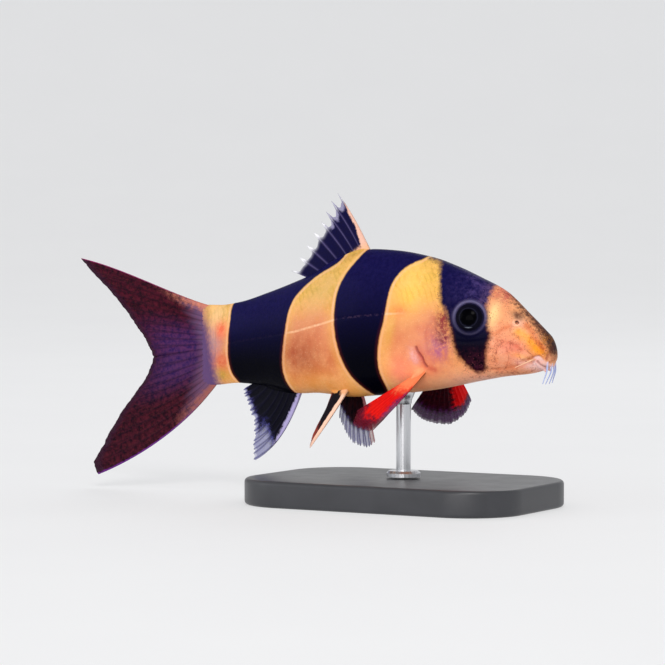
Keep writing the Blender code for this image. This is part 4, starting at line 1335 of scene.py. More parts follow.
def fin_grid(rays, root, tips, bow, notch, uneven, spread=0.2, tip_length=2.0, ray_widths=(0.14, 0.08)):
    """Points of a fan in its own plane, with share, reach and nearness to a ray and to a tip.

    The share goes from the front ray to the last, and the reach from the root to the edge.
    """
    columns = (rays - 1) * FIN_COLUMNS_PER_RAY + 1
    share = np.linspace(0, 1, columns)[:, None] * np.ones((1, FIN_ROWS + 1))
    reach = np.linspace(0, 1, FIN_ROWS + 1)[None, :] * np.ones((columns, 1))
    number = share * (rays - 1)
    off = np.abs(number - np.round(number))
    parting = spread * smooth_step(RAY_SPLIT, 1.0, reach)
    width = ray_widths[0] + (ray_widths[1] - ray_widths[0]) * reach
    ray = np.exp(-((off - parting) / width) ** 2)
    shorter = chance.uniform(0, uneven, 3 * rays)
    shorter[:2] = 0
    shorter[-2:] = 0
    shorter = np.interp(share, np.linspace(0, 1, 3 * rays), shorter)
    start = along_line(root, share)
    end = along_line(tips, share)
    near, far = bow(share[..., None])
    length = np.linalg.norm(end - start, axis=-1)
    outer = smooth_step(0.25, 1.0, reach)
    ray_end = 1 - shorter * outer
    web_end = ray_end - np.minimum(notch / length, 0.5) * (1 - np.sqrt(ray)) * outer
    tip = 1 - smooth_step(0.4 * tip_length, tip_length, (ray_end - reach * web_end) * length)
    pulled = (reach * web_end)[..., None]
    rest = 1 - pulled
    bowed = near * (3 * pulled * rest ** 2)
    point = start + (end - start) * pulled + bowed + far * (3 * pulled ** 2 * rest)
    return point, share, reach, ray, tip


def plate(name, middle, half):
    """A closed mesh about a middle surface, with its thickness given point by point."""
    columns, rows = half.shape
    normal = np.cross(np.gradient(middle, axis=0), np.gradient(middle, axis=1))
    normal /= np.linalg.norm(normal, axis=-1, keepdims=True)
    push = normal * half[..., None]
    both = np.concatenate([(middle + push).reshape(-1, 3), (middle - push).reshape(-1, 3)])
    index = np.arange(columns * rows).reshape(columns, rows)
    front = np.stack([index[:-1, :-1], index[1:, :-1], index[1:, 1:], index[:-1, 1:]], axis=-1)
    front = front.reshape(-1, 4)
    back = front[:, ::-1] + columns * rows
    edge = np.concatenate([index[0, :], index[1:, -1], index[-1, -2::-1], index[-2:0:-1, 0]])
    following = np.roll(edge, -1)
    rim = np.stack([edge, edge + columns * rows, following + columns * rows, following], axis=-1)
    return closed_mesh(name, both, np.concatenate([front, back, rim]).tolist())


def ripple(share, reach, height_of_wave, waves):
    """A gentle wave across the web, which grows towards the edge."""
    return height_of_wave * np.sin(math.tau * waves * share + 2.0 * reach) * reach ** 1.5


def ray_thickness(ray, reach, share, web, ridge, root_half):
    """Half the thickness: ridges over a web, full at the root and fine at the edge."""
    half = web + (ridge - web) * ray * (1 - 0.55 * reach)
    half = half + (root_half(share) - half) * (1 - smooth_step(0.0, 0.25, reach))
    return half * (1 - TIP_THINNING * smooth_step(0.85, 1.0, reach))


def finish_fin(name, mesh, replaces, reach, ray, tip, masks):
    """Stores the numbers of the middle surface on both faces of the plate."""
    for label, values in dict(reach=reach, ray=ray, tip=tip, **masks).items():
        give(mesh, label, np.concatenate([values.reshape(-1)] * 2))
    return piece_from(name, mesh, replaces)


def even_root(half):
    """A root that is equally thick along its whole length."""
    return lambda share: half + 0 * share


def upright_fin(name, rays, root, tips, bow, slot, replaces, masks, notch, wave=0.12, web=0.07,
                ridge=0.19, root_half=even_root(0.3), **shape):
    """An unpaired fin in the middle plane of the fish."""
    point, share, reach, ray, tip = fin_grid(rays, root, tips, bow, notch, **shape)
    middle = place(point[..., 0], ripple(share, reach, wave, 1.3), point[..., 1])
    mesh = plate(name, middle, ray_thickness(ray, reach, share, web, ridge, root_half))
    return finish_fin(name, mesh, replaces, reach, ray, tip, masks(share, reach))


# %% [markdown]
# ## One finish for all fins
#
# Every fin has the same parts: a web with a colour of its own, paler rays, whose tips are white
# on the dorsal fin, a fleshy root, a leading edge, a margin that is nearly clear, and pigment
# specks. A node group mixes them from what is stored in the mesh, and each fin's material gives
# its own colours.

# %% Group: fin paint
fin_paint, gin, gout = group(
    "fin paint",
    {
        "Web": ("Color", (0.1, 0.1, 0.1, 1)), "Ray": ("Color", (0.2, 0.2, 0.2, 1)),
        "Ray Tip": ("Color", (0.6, 0.6, 0.7, 1)),
        "Root": ("Color", (0.8, 0.4, 0.2, 1)), "Lead": ("Color", (0.8, 0.5, 0.4, 1)),
        "Margin": ("Color", (0.3, 0.3, 0.5, 1)), "Speckle": ("Color", (0.3, 0.1, 0.05, 1)),
        "Root Amount": ("Float", 0.0), "Lead Amount": ("Float", 0.0), "Margin Amount": ("Float", 0.0),
        "Ray Amount": ("Float", 0.5), "Speckle Amount": ("Float", 0.4), "Clearness": ("Float", 0.6),
        "Edge Clearness": ("Float", 0.7), "Tip Amount": ("Float", 0.0),
    },
    {"Color": "Color", "Alpha": "Float", "Height": "Float"},
)
tree = fin_paint
grain = use(tree, skin_grain, Cells=4.0)
mottle = about_zero(grain["Mottle"])


def broken(amount, strength):
    """A mask whose edge is broken up by the mottle, and which stays clean where it is 0 or 1."""
    half_way = times(amount, less(amount), 4.0 * strength)
    return ramp_of(tree, math_node(tree, "ADD", amount, times(mottle, half_way)), 0.05, 0.95)


ray = read(tree, "ray")
reach = read(tree, "reach")
ray_colour = mix(tree, read(tree, "tip"), gin["Ray"], gin["Ray Tip"])
web = mix(tree, times(grain["Mottle"], gin["Speckle Amount"]), gin["Web"], gin["Speckle"])
shown_ray = times(ray, gin["Ray Amount"], ramp_of(tree, reach, -0.4, 0.6))
shown_tip = times(read(tree, "tip"), gin["Tip Amount"])
colour = mix(tree, math_node(tree, "MAXIMUM", shown_ray, shown_tip), web, ray_colour)
colour = mix(tree, times(broken(gin["Margin Amount"], 0.7), less(times(ray, 0.5))), colour, gin["Margin"])
colour = mix(tree, broken(gin["Lead Amount"], 0.7), colour, gin["Lead"])
colour = mix(tree, broken(gin["Root Amount"], 0.45), colour, gin["Root"])
tree.links.new(colour, gout["Color"])
clear = times(ramp_of(tree, gin["Margin Amount"], 0.1, 0.9), gin["Clearness"])
ragged_reach = math_node(tree, "ADD", reach, times(mottle, 0.05))
edge_clear = times(ramp_of(tree, ragged_reach, 0.92, 1.0), gin["Edge Clearness"])
clear = math_node(tree, "MAXIMUM", clear, edge_clear)
between_rays = less(times(ray, gin["Ray Amount"], 0.8))
tree.links.new(less(times(clear, between_rays)), gout["Alpha"])
joints = node(tree, "ShaderNodeTexWave", {
    "Vector": node(tree, "ShaderNodeCombineXYZ", {"X": reach}).outputs["Vector"],
    "Scale": 9.0, "Distortion": 1.5,
}, wave_type="BANDS").outputs["Fac"]
height_of_joints = times(joints, ray, 0.5)
height_of_grain = times(grain["Height"], 0.5)
tree.links.new(math_node(tree, "ADD", height_of_joints, height_of_grain), gout["Height"])

FIN_ROUGHNESS = 0.45
USUAL_MASKS = {"Root_Amount": "base", "Lead_Amount": "lead", "Margin_Amount": "margin"}


def fin_material(name, **values):
    """A fin's finish. Amounts may name a stored mask, and the rest are colours and numbers."""
    made, own, shader = new_material(name)
    linked = {}
    for key, value in {**USUAL_MASKS, **values}.items():
        linked[key.replace("_", " ")] = read(own, value) if isinstance(value, str) else value
    painted = use(own, fin_paint, **linked)
    own.links.new(painted["Color"], shader.inputs["Base Color"])
    own.links.new(painted["Alpha"], shader.inputs["Alpha"])
    bumped(own, shader, painted["Height"], 0.35, 0.12)
    shader.inputs["Roughness"].default_value = FIN_ROUGHNESS
    shader.inputs["Specular IOR Level"].default_value = 0.06
    return made, own, painted


def paint(fin, made):
    fin.data.materials.append(made[0])


# %% [markdown]
# ### The dorsal fin
#
# It stands just behind the middle band. Its front edge and its base are peach, and behind them
# is a black field. Eight rays fan back from it with white tips, and the web between them is
# deeply notched, so the tips stand free like the teeth of a comb.

# %% Dorsal fin
DORSAL_ROOT = (
    (0, (30.4, 11.6)), (0.14, (31.6, 11.1)), (0.28, (32.6, 10.7)), (0.43, (33.8, 10.2)),
    (0.57, (35.3, 9.6)), (0.71, (36.7, 9.1)), (0.86, (38.5, 8.4)), (1, (40.4, 7.6)),
)
DORSAL_TIPS = (
    (0, (36.7, 21.2)), (0.14, (37.8, 20.1)), (0.28, (38.7, 18.5)), (0.43, (39.8, 17.0)),
    (0.57, (41.2, 15.3)), (0.71, (42.7, 13.4)), (0.86, (44.2, 11.4)), (1, (45.5, 9.3)),
)


def dorsal_bow(share):
    push = np.array((-0.4, 0.33)) * (1 - share)
    return push, push


def dorsal_masks(share, reach):
    widening = 0.085 * (1 - smooth_step(0.05, 0.6, reach))
    lead = 1 - smooth_step(0.0, 0.05, share - widening - 0.012)
    lead = lead * (1 - smooth_step(0.7, 0.9, reach))
    base = (1 - smooth_step(0.12, 0.26, reach)) * (1 - smooth_step(0.30, 0.5, share))
    margin = smooth_step(0.8, 1.0, reach) * (1 - smooth_step(0.3, 0.5, share))
    return {"lead": lead, "base": base, "margin": margin}


dorsal = upright_fin(
    "dorsal_fin_fine", 8, DORSAL_ROOT, DORSAL_TIPS, dorsal_bow, "fin_dark", ("dorsal_fin",),
    dorsal_masks, notch=1.6, spread=0.0, uneven=0.06, tip_length=2.4, ray_widths=(0.06, 0.07),
)
paint(dorsal, fin_material(
    "dorsal_finish", Web=srgb(8, 6, 54), Ray=srgb(84, 76, 120), Ray_Tip=srgb(250, 250, 255),
    Root=srgb(238, 182, 146), Lead=srgb(232, 184, 164), Margin=srgb(120, 112, 160),
    Speckle=srgb(18, 12, 36), Ray_Amount=0.9, Speckle_Amount=0.4, Clearness=0.5,
    Edge_Clearness=0.0, Tip_Amount=0.95,
))

# %% [markdown]
# ### The anal fin
#
# It leans back under the rear band, black in its middle, with a thin whitish front edge and a
# clear, bluish tip and margin.

# %% Anal fin
ANAL_ROOT = ((0, (43.3, -8.9)), (1, (51.0, -7.4)))
ANAL_TIPS = (
    (0, (53.2, -20.7)), (0.14, (53.7, -19.2)), (0.32, (53.2, -17.0)), (0.5, (53.3, -14.8)),
    (0.68, (54.3, -12.4)), (0.84, (55.2, -10.7)), (1, (55.3, -9.4)),
)


def anal_bow(share):
    push = np.array((-1.1, -1.85)) * (1 - share)
    return push, push


def anal_masks(share, reach):
    lead = 1 - smooth_step(0.0, 0.09, share - 0.035 * hill(reach, 0.3, 0.2))
    lead = lead * (1 - smooth_step(0.5, 0.75, reach))
    tip = smooth_step(0.52, 0.82, reach) * (1 - smooth_step(0.15, 0.6, share))
    margin = np.maximum(tip, smooth_step(0.82, 1.0, reach))
    return {"lead": lead, "base": 0 * share, "margin": margin}


anal = upright_fin(
    "anal_fin_fine", 9, ANAL_ROOT, ANAL_TIPS, anal_bow, "fin_dark", ("anal_fin",), anal_masks,
    notch=0.4, uneven=0.05,
)
paint(anal, fin_material(
    "anal_finish", Web=srgb(2, 2, 14), Ray=srgb(14, 12, 36), Ray_Tip=srgb(72, 66, 134),
    Root=srgb(30, 24, 40), Lead=srgb(172, 162, 206), Margin=srgb(70, 68, 150),
    Speckle=srgb(12, 9, 24), Ray_Amount=0.6, Speckle_Amount=0.4, Clearness=0.6, Edge_Clearness=0.8,
))

# %% [markdown]
# ### The tail fin
#
# Two pointed lobes share the end of the stem. They are dark maroon with red and olive specks,
# violet grey in the middle where the rays show, with a peach streak from the stem along the
# upper edge and thin magenta and violet rims. Each lobe is its own solid, so each is its own
# piece here, and they meet along the middle ray.

# %% Tail fin
TAIL_ROOT = 60.9
TAIL_TOP = 3.4
TAIL_MIDDLE = -2.9
TAIL_BOTTOM = -9.0
TAIL_FORK = (72.6, -4.7)
TAIL_RAYS = 11
TAIL_SHAPE = {"notch": 0.06, "wave": 0.1, "web": 0.09, "ridge": 0.22, "uneven": 0.012}
UPPER_TIPS = (
    (0, (85.0, 11.1)), (0.12, (84.1, 9.9)), (0.28, (81.2, 7.0)), (0.45, (78.3, 3.8)),
    (0.6, (76.2, 1.0)), (0.8, (74.2, -1.8)), (1, TAIL_FORK),
)
LOWER_TIPS = (
    (0, TAIL_FORK), (0.16, (73.7, -7.6)), (0.32, (75.7, -10.4)), (0.5, (78.2, -13.7)),
    (0.64, (80.0, -16.5)), (0.78, (81.7, -19.7)), (0.9, (83.0, -22.3)), (1, (82.1, -23.9)),
)


def upper_bow(share):
    return np.array((0, -1.3)) * (1 - share), np.array((0, 0.8)) * (1 - share)


def lower_bow(share):
    push = np.array((-0.27, -2.0)) * share
    return push, push


def lobe_masks(away, reach, streak_end):
    """Masks of a lobe. away is 0 at the fin's middle and 1 at the lobe's outer edge."""
    grey = 1 - smooth_step(0.25, 0.72, away + 0.18 * reach)
    streak = 0.8 * smooth_step(0.66, 0.97, away)
    return {
        "grey": grey * (1 - 0.5 * smooth_step(0.7, 1.0, reach)),
        "streak": streak * (1 - smooth_step(0.05, streak_end, reach)),
        "rim": smooth_step(0.978, 0.995, away),
        "fade": 1 - smooth_step(0.12, 0.36, reach - 0.02 * np.sin(40 * away)),
        "margin": smooth_step(0.9, 1.0, reach),
    }


upper_tail = upright_fin(
    "tail_lobe_upper", TAIL_RAYS, ((0, (TAIL_ROOT, TAIL_TOP)), (1, (TAIL_ROOT, TAIL_MIDDLE))),
    UPPER_TIPS, upper_bow, "fin_tail", ("caudal_fin_upper",),
    lambda share, reach: lobe_masks(1 - share, reach, 0.6),
    root_half=lambda share: 0.12 + 0.1 * np.sqrt(share), **TAIL_SHAPE,
)
lower_tail = upright_fin(
    "tail_lobe_lower", TAIL_RAYS, ((0, (TAIL_ROOT, TAIL_MIDDLE)), (1, (TAIL_ROOT, TAIL_BOTTOM))),
    LOWER_TIPS, lower_bow, "fin_tail", ("caudal_fin_lower",),
    lambda share, reach: lobe_masks(share, reach, 0.5),
    root_half=lambda share: 0.12 + 0.1 * np.sqrt(1 - share), **TAIL_SHAPE,
)


def tail_material(name, streak_colour, rim_colour, warm, root_colour):
    """The tail's finish: maroon that turns violet grey where the middle of the fin is stored."""
    made = fin_material(
        name, Ray=srgb(22, 8, 24), Ray_Tip=srgb(54, 28, 58), Root=streak_colour, Lead=rim_colour,
        Margin=srgb(44, 12, 34), Speckle=warm, Root_Amount="streak", Lead_Amount="rim",
        Ray_Amount=0.45, Speckle_Amount=0.2, Clearness=0.0, Edge_Clearness=0.12,
    )
    _, own, painted = made
    own_grain = use(own, skin_grain, Cells=4.0)
    maroon = mix(own, own_grain["Mottle"], srgb(17, 1, 14), srgb(62, 10, 34))
    specks = math_node(own, "MULTIPLY", own_grain["Dark Dots"], 0.35)
    maroon = mix(own, specks, maroon, srgb(90, 46, 22))
    grey = mix(own, own_grain["Mottle"], srgb(38, 20, 74), srgb(72, 42, 92))
    web = mix(own, read(own, "grey"), maroon, grey)
    own.links.new(mix(own, read(own, "fade"), web, root_colour), painted["Color"].node.inputs["Web"])
    return made


paint(upper_tail, tail_material(
    "upper_tail_finish", streak_colour=srgb(200, 124, 104), rim_colour=srgb(140, 40, 96),
    warm=srgb(112, 28, 30), root_colour=srgb(104, 78, 114),
))
paint(lower_tail, tail_material(
    "lower_tail_finish", streak_colour=srgb(150, 90, 82), rim_colour=srgb(104, 44, 128),
    warm=srgb(100, 38, 28), root_colour=srgb(102, 72, 104),
))

# %% [markdown]
# ### The paired fins
#
# The pectoral fins sit behind the gills and the pelvic fins under the belly. Each fans out from
# a short root on its flank, cupped a little, in a plane of its own, so their points are given as
# offsets from the root's middle: backward, to the left and up.

# %% Paired fins
ROOT_SUNK = 1.6
PAIRED_WEB = 0.07
PAIRED_RIDGE = 0.17
PAIRED_ROOT = 0.34
PAIRED_UNEVEN = 0.015
PAIRED_BOW = 0.04


def paired_fin(name, rays, centre, base, tips, cup, replaces, masks, notch=0.2):
    """A fin on one flank, cupped by so many millimetres out of the plane of its rays."""
    centre = np.array(centre, float)
    base = np.array(base, float)
    tips = [(share, centre + np.array(offset)) for share, offset in tips]
    lead = tips[0][1] - centre
    trail = tips[-1][1] - centre
    normal = np.cross(lead, trail)
    normal /= np.linalg.norm(normal)
    middle_way = lead / np.linalg.norm(lead) + trail / np.linalg.norm(trail)
    inwards = middle_way / np.linalg.norm(middle_way) * -ROOT_SUNK
    root = ((0, centre - base / 2 + inwards), (1, centre + base / 2 + inwards))

    def bow(share):
        push = (lead - trail) * PAIRED_BOW * (1 - share)
        return push, push

    point, share, reach, ray, tip = fin_grid(rays, root, tips, bow, notch, PAIRED_UNEVEN)
    bulge = cup * np.sin(math.pi * share) * np.sin(math.pi * reach * 0.6)
    bulge = bulge + ripple(share, reach, 0.12, 1.7)
    point = point + normal * bulge[..., None]
    middle = place(point[..., 0], point[..., 1], point[..., 2])
    half = ray_thickness(ray, reach, share, PAIRED_WEB, PAIRED_RIDGE, even_root(PAIRED_ROOT))
    mesh = plate(name, middle, half)
    return finish_fin(name, mesh, replaces, reach, ray, tip, masks(share, reach))


def near_pectoral_masks(share, reach):
    base = 1 - smooth_step(0.2, 0.55, reach)
    clear_side = (1 - smooth_step(0.10, 0.42, share)) * smooth_step(0.35, 0.6, reach)
    margin = np.maximum(clear_side, smooth_step(0.8, 1.0, reach))
    return {"base": base, "lead": smooth_step(0.7, 0.95, reach), "margin": margin}


def far_pectoral_masks(share, reach):
    base = 1 - smooth_step(0.1, 0.3, reach)
    lead = (1 - smooth_step(0.2, 0.45, share)) * (1 - smooth_step(0.72, 0.9, reach))
    return {"base": base, "lead": lead, "margin": smooth_step(0.62, 0.98, reach)}


def near_pelvic_masks(share, reach):
    base = (1 - smooth_step(0.1, 0.22, reach)) * (1 - smooth_step(0.25, 0.45, share))
    lead = 1 - smooth_step(0.12, 0.24, share)
    rear_edge = smooth_step(0.88, 1.0, share) * smooth_step(0.1, 0.3, reach)
    return {"base": base, "lead": lead, "margin": np.maximum(rear_edge, smooth_step(0.66, 0.92, reach))}


def far_pelvic_masks(share, reach):
    lead = 1 - smooth_step(0.06, 0.16, share)
    return {"base": 0 * share, "lead": lead, "margin": smooth_step(0.56, 0.85, reach)}


near_pectoral = paired_fin(
    "pectoral_fine_right", 13, (20.3, -4.1, -6.0), (1.4, 0.2, -0.9),
    (
        (0, (3.6, -5.9, -7.2)), (0.2, (4.7, -6.0, -8.4)), (0.45, (6.8, -5.2, -8.5)),
        (0.75, (8.8, -4.0, -7.3)), (1, (8.9, -2.7, -5.5)),
    ),
    0.5, ("pectoral_fin_right",), near_pectoral_masks,
)
paint(near_pectoral, fin_material(
    "near_pectoral_finish", Web=srgb(216, 8, 8), Ray=srgb(240, 40, 24), Ray_Tip=srgb(170, 20, 34),
    Root=srgb(246, 134, 86), Lead=srgb(96, 14, 34), Margin=srgb(84, 30, 96),
    Speckle=srgb(160, 8, 12), Ray_Amount=0.5, Speckle_Amount=0.5, Clearness=0.35, Edge_Clearness=0.7,
))
far_pectoral = paired_fin(
    "pectoral_fine_left", 13, (20.3, 4.1, -6.0), (1.4, -0.2, -0.9),
    (
        (0, (-0.9, 8.0, -4.6)), (0.2, (-0.1, 7.6, -7.1)), (0.45, (2.5, 6.3, -8.8)),
        (0.75, (5.9, 4.3, -8.0)), (1, (7.3, 3.0, -6.0)),
    ),
    -0.5, ("pectoral_fin_left",), far_pectoral_masks,
)
# Painted shade: the far pectoral fin keeps the near fin's red only at its leading edge, and its web and
# rays are painted dark.
paint(far_pectoral, fin_material(
    "far_pectoral_shaded_finish", Web=srgb(22, 2, 14), Ray=srgb(60, 6, 24), Ray_Tip=srgb(92, 36, 104),
    Root=srgb(170, 20, 22), Lead=srgb(228, 6, 10), Margin=srgb(80, 18, 92),
    Speckle=srgb(84, 8, 20), Ray_Amount=0.3, Speckle_Amount=0.5, Clearness=0.2, Edge_Clearness=0.5,
))
near_pelvic = paired_fin(
    "pelvic_fine_right", 9, (35.2, -1.9, -9.3), (3.0, 0.5, 0.1),
    ((0, (2.3, -4.2, -8.3)), (0.2, (2.9, -3.4, -7.9)), (0.5, (3.2, -1.7, -6.7)), (1, (3.2, 0.3, -4.2))),
    0.3, ("pelvic_fin_right",), near_pelvic_masks,
)
paint(near_pelvic, fin_material(
    "near_pelvic_finish", Web=srgb(10, 7, 14), Ray=srgb(40, 28, 40), Ray_Tip=srgb(150, 60, 40),
    Root=srgb(232, 172, 126), Lead=srgb(244, 200, 176), Margin=srgb(156, 62, 48),
    Speckle=srgb(26, 16, 24), Ray_Amount=0.5, Speckle_Amount=0.4, Clearness=0.1, Edge_Clearness=0.3,
))
far_pelvic = paired_fin(
    "pelvic_fine_left", 9, (35.2, 1.9, -9.3), (2.4, -0.5, 0.1),
    ((0, (-1.4, 4.6, -7.9)), (0.2, (-0.6, 3.9, -8.9)), (0.5, (0.6, 1.6, -8.1)), (1, (1.4, -1.6, -3.8))),
    -0.3, ("pelvic_fin_left",), far_pelvic_masks, notch=0.25,
)
paint(far_pelvic, fin_material(
    "far_pelvic_finish", Web=srgb(5, 4, 14), Ray=srgb(44, 16, 26), Ray_Tip=srgb(34, 26, 92),
    Root=srgb(20, 10, 20), Lead=srgb(186, 120, 124), Margin=srgb(96, 92, 162),
    Speckle=srgb(60, 14, 20), Ray_Amount=0.85, Speckle_Amount=0.6, Clearness=0.6,
    Edge_Clearness=0.85,
))

# %% [markdown]
# ## The barbels
#
# Three pairs of feelers hang round the mouth. Each is a soft tapering tube. Those at the snout
# are pale and bluish, and the pair at the corners of the mouth keeps the warm colour of the lip.

# %% Barbels
BARBEL_RADIUS = 0.17
BARBEL_TAPER = 0.65
BARBEL_POINTS = 36


def barbel_material(name, root_colour, tip_colour):
    made, own, shader = new_material(name)
    own_grain = use(own, skin_grain, Cells=5.0)
    colour = mix(own, ramp_of(own, read(own, "reach"), 0.05, 0.5), root_colour, tip_colour)
    specks = math_node(own, "MULTIPLY", own_grain["Dark Dots"], 0.25)
    colour = mix(own, specks, colour, srgb(130, 100, 120))
    own.links.new(colour, shader.inputs["Base Color"])
    bumped(own, shader, own_grain["Height"], 0.2, 0.1)
    shader.inputs["Roughness"].default_value = 0.4
    shader.inputs["Specular IOR Level"].default_value = 0.3
    return made


snout_barbel = barbel_material("snout_barbel_finish", srgb(218, 184, 182), srgb(166, 178, 222))
corner_barbel = barbel_material("corner_barbel_finish", srgb(230, 154, 108), srgb(238, 184, 148))
for side, word in ((-1, "right"), (1, "left")):
    inner = ((0.5, 0.45 * side, -3.7), (0.6, 0.55 * side, -5.1), (1.4, 0.72 * side, -7.1))
    outer = ((0.85, 1.3 * side, -3.3), (0.8, 1.7 * side, -4.9), (1.4, 1.9 * side, -7.0))
    corner = ((2.5, 1.3 * side, -3.4), (2.7, 2.85 * side, -3.5), (5.0, 3.6 * side, -4.6))
    barbels = (
        ("inner", inner, snout_barbel), ("outer", outer, snout_barbel),
        ("corner", corner, corner_barbel),
    )
    for where, points, finish in barbels:
        path = path_through([place(*point) for point in points], BARBEL_POINTS)
        shares = np.linspace(0, 1, BARBEL_POINTS)
        radii = BARBEL_RADIUS * (1 - BARBEL_TAPER * shares ** 1.2)
        made_corners, made_faces = tube(path, radii, 16, 4)
        mesh = closed_mesh("barbel", made_corners, made_faces)
        closest = [np.argmin(np.linalg.norm(path - point, axis=1)) for point in made_corners]
        give(mesh, "reach", np.array(closest) / (BARBEL_POINTS - 1))
        barbel = piece_from(f"feeler_{where}_{word}", mesh, (f"barbel_{where}_{word}",))
        barbel.data.materials.append(finish)

# %% [markdown]
# ## The stand
#
# A museum figure stands on something plain that doesn't compete with it: a satin charcoal base
# and a brushed steel rod. The base is slightly cloudy and has fine pores. The rod's strokes are
# a noise that is stretched along it. The rod's solid has the right shape already, so it stays
# and only gets a finer finish.

# %% Stand finishes
base_finish, tree, shader = new_material("stand_base_finish_fine")
cloud = noise(tree, 0.25, 3.0)
pores = noise(tree, 7.0, 2.0)
tree.links.new(mix(tree, cloud, srgb(42, 43, 47), srgb(56, 57, 62)), shader.inputs["Base Color"])
tree.links.new(math_node(tree, "ADD", 0.3, times(cloud, 0.16)), shader.inputs["Roughness"])
bumped(tree, shader, pores, 0.12, 0.05)

rod_finish, tree, shader = new_material("stand_rod_finish_fine")
coordinates = node(tree, "ShaderNodeTexCoord").outputs["Object"]
stretched = node(tree, "ShaderNodeMapping", {"Vector": coordinates, "Scale": (5.0, 5.0, 0.2)})
strokes = noise(tree, 1.2, 3.0, 0.6, stretched.outputs["Vector"])
steel = mix(tree, strokes, srgb(188, 190, 194), srgb(214, 215, 218))
tree.links.new(steel, shader.inputs["Base Color"])
tree.links.new(math_node(tree, "ADD", 0.2, times(strokes, 0.18)), shader.inputs["Roughness"])
bumped(tree, shader, strokes, 0.15, 0.04)
shader.inputs["Metallic"].default_value = 1.0

for slot in frame["nodes"]["stand_rod"].material_slots:
    slot.material = rod_finish

# %% [markdown]
# The base's solid has a few flats at each corner, which a satin finish would show, so a plate of
# the same size with finer corners takes its place. It is a loft over rounded oblongs, like the
# body, and needs no bevel.

# %% Base plate
PLATE_CORNER = 9.0
PLATE_CORNER_POINTS = 25
PLATE_RIM = 0.6
PLATE_RIM_POINTS = 7
RIM_FLAT = 1.0
half_length, half_width, plate_top = (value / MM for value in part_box("stand_base")[1])


def plate_ring(inset, level):
    """A rounded oblong at one level, drawn in from the plate's edge."""
    quarter = np.linspace(0, math.tau / 4, PLATE_CORNER_POINTS)
    arcs = []
    for turn, (right, back) in enumerate(((1, 1), (-1, 1), (-1, -1), (1, -1))):
        angle = quarter + turn * math.tau / 4
        x = right * (half_length - PLATE_CORNER) + (PLATE_CORNER - inset) * np.cos(angle)
        y = back * (half_width - PLATE_CORNER) + (PLATE_CORNER - inset) * np.sin(angle)
        arcs.append(np.stack([x, y, np.full(len(angle), level)], axis=1))
    return np.concatenate(arcs)


angles = np.linspace(0, math.tau / 4, PLATE_RIM_POINTS)
rim = [(PLATE_RIM * (1 - math.sin(a)), PLATE_RIM * (1 - math.cos(a))) for a in angles]
steps = [(PLATE_RIM + RIM_FLAT, 0)] + rim
steps += [(inset, plate_top - level) for inset, level in reversed(steps)]
plate_mesh = closed_mesh("stand_plate", *loft([plate_ring(inset, level) for inset, level in steps]))
base_plate = piece_from("stand_plate", plate_mesh, ("stand_base",))
base_plate.data.materials.append(base_finish)

# %% [markdown]
# A small steel cup holds the belly, as on real stands. It would be turned on a lathe like the
# rod, so it is a loft over level circles that follow its profile.

# %% Cup under the belly
CUP_AROUND = 48
CUP_PROFILE = (
    # radius, height above the rod's top
    (1.12, -1.5), (1.2, -1.4), (1.24, -0.9), (1.5, -0.3), (1.75, 0.35), (1.72, 0.55), (1.4, 0.6),
)


def level_circle(radius, level, count):
    """Points of a circle round the upright axis."""
    turns = np.arange(count) / count * math.tau
    return np.stack([radius * np.cos(turns), radius * np.sin(turns), np.full(count, level)], axis=1)


rod_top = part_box("stand_rod")[1][2] / MM
print("rod's top in mm:", round(rod_top, 2))
rings = [level_circle(radius, rod_top + rise, CUP_AROUND) for radius, rise in CUP_PROFILE]
cup = piece_from("stand_cup", closed_mesh("stand_cup", *loft(rings)))
cup.data.materials.append(rod_finish)

# %% [markdown]
# ## Floor, light and camera
#
# The floor is a wide shallow bowl in pale grey, whose rim rises far from the figure, so no
# horizon shows from any side. It shines a little of its own, like a lit backdrop. A cage of few
# faces is enough, because a subdivision rounds it.

# %% Floor
FLOOR_PROFILE = (
    # radius and height in metres
    (0.35, 0.0), (0.7, 0.0), (0.95, 0.03), (1.15, 0.12), (1.3, 0.3), (1.36, 0.6), (1.38, 1.4),
)
FLOOR_AROUND = 96
rings = [level_circle(radius, level, FLOOR_AROUND) for radius, level in FLOOR_PROFILE]
floor_corners = np.concatenate(rings + [np.zeros((1, 3))])
floor_faces = []
for i in range(len(rings) - 1):
    inner, outer = i * FLOOR_AROUND, (i + 1) * FLOOR_AROUND
    for j in range(FLOOR_AROUND):
        k = (j + 1) % FLOOR_AROUND
        floor_faces.append((inner + j, inner + k, outer + k, outer + j))
for j in range(FLOOR_AROUND):
    floor_faces.append((j, (j + 1) % FLOOR_AROUND, len(floor_corners) - 1))
floor_mesh = closed_mesh("floor", floor_corners, floor_faces)
floor_mesh.shade_smooth()
floor = bpy.data.objects.new("floor", floor_mesh)
bpy.context.scene.collection.objects.link(floor)
soft = floor.modifiers.new("round", "SUBSURF")
soft.levels = 2
soft.render_levels = 2
floor_finish, tree, shader = new_material("floor_finish")
paper = mix(tree, noise(tree, 0.02, 2.0), srgb(152, 153, 156), srgb(158, 159, 161))
tree.links.new(paper, shader.inputs["Base Color"])
shader.inputs["Roughness"].default_value = 0.85
shader.inputs["Emission Color"].default_value = (1.0, 1.0, 1.0, 1.0)
shader.inputs["Emission Strength"].default_value = 0.5
floor.data.materials.append(floor_finish)
floor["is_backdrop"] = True

# %% [markdown]
# Four soft lamps stand round the figure like softboxes in a studio: the main one above and in
# front, a low one in front for the belly, a weaker one from the tail's side and one behind for
# the edge of the back. The low lamp is near the floor, on which it would leave a bright patch
# that shows from behind. Light linking lets it spare the floor.

# %% Light
world = bpy.data.worlds.new("studio")
bpy.context.scene.world = world
world.use_nodes = True
world.node_tree.nodes["Background"].inputs["Color"].default_value = (0.97, 0.98, 1.0, 1)
world.node_tree.nodes["Background"].inputs["Strength"].default_value = 0.5


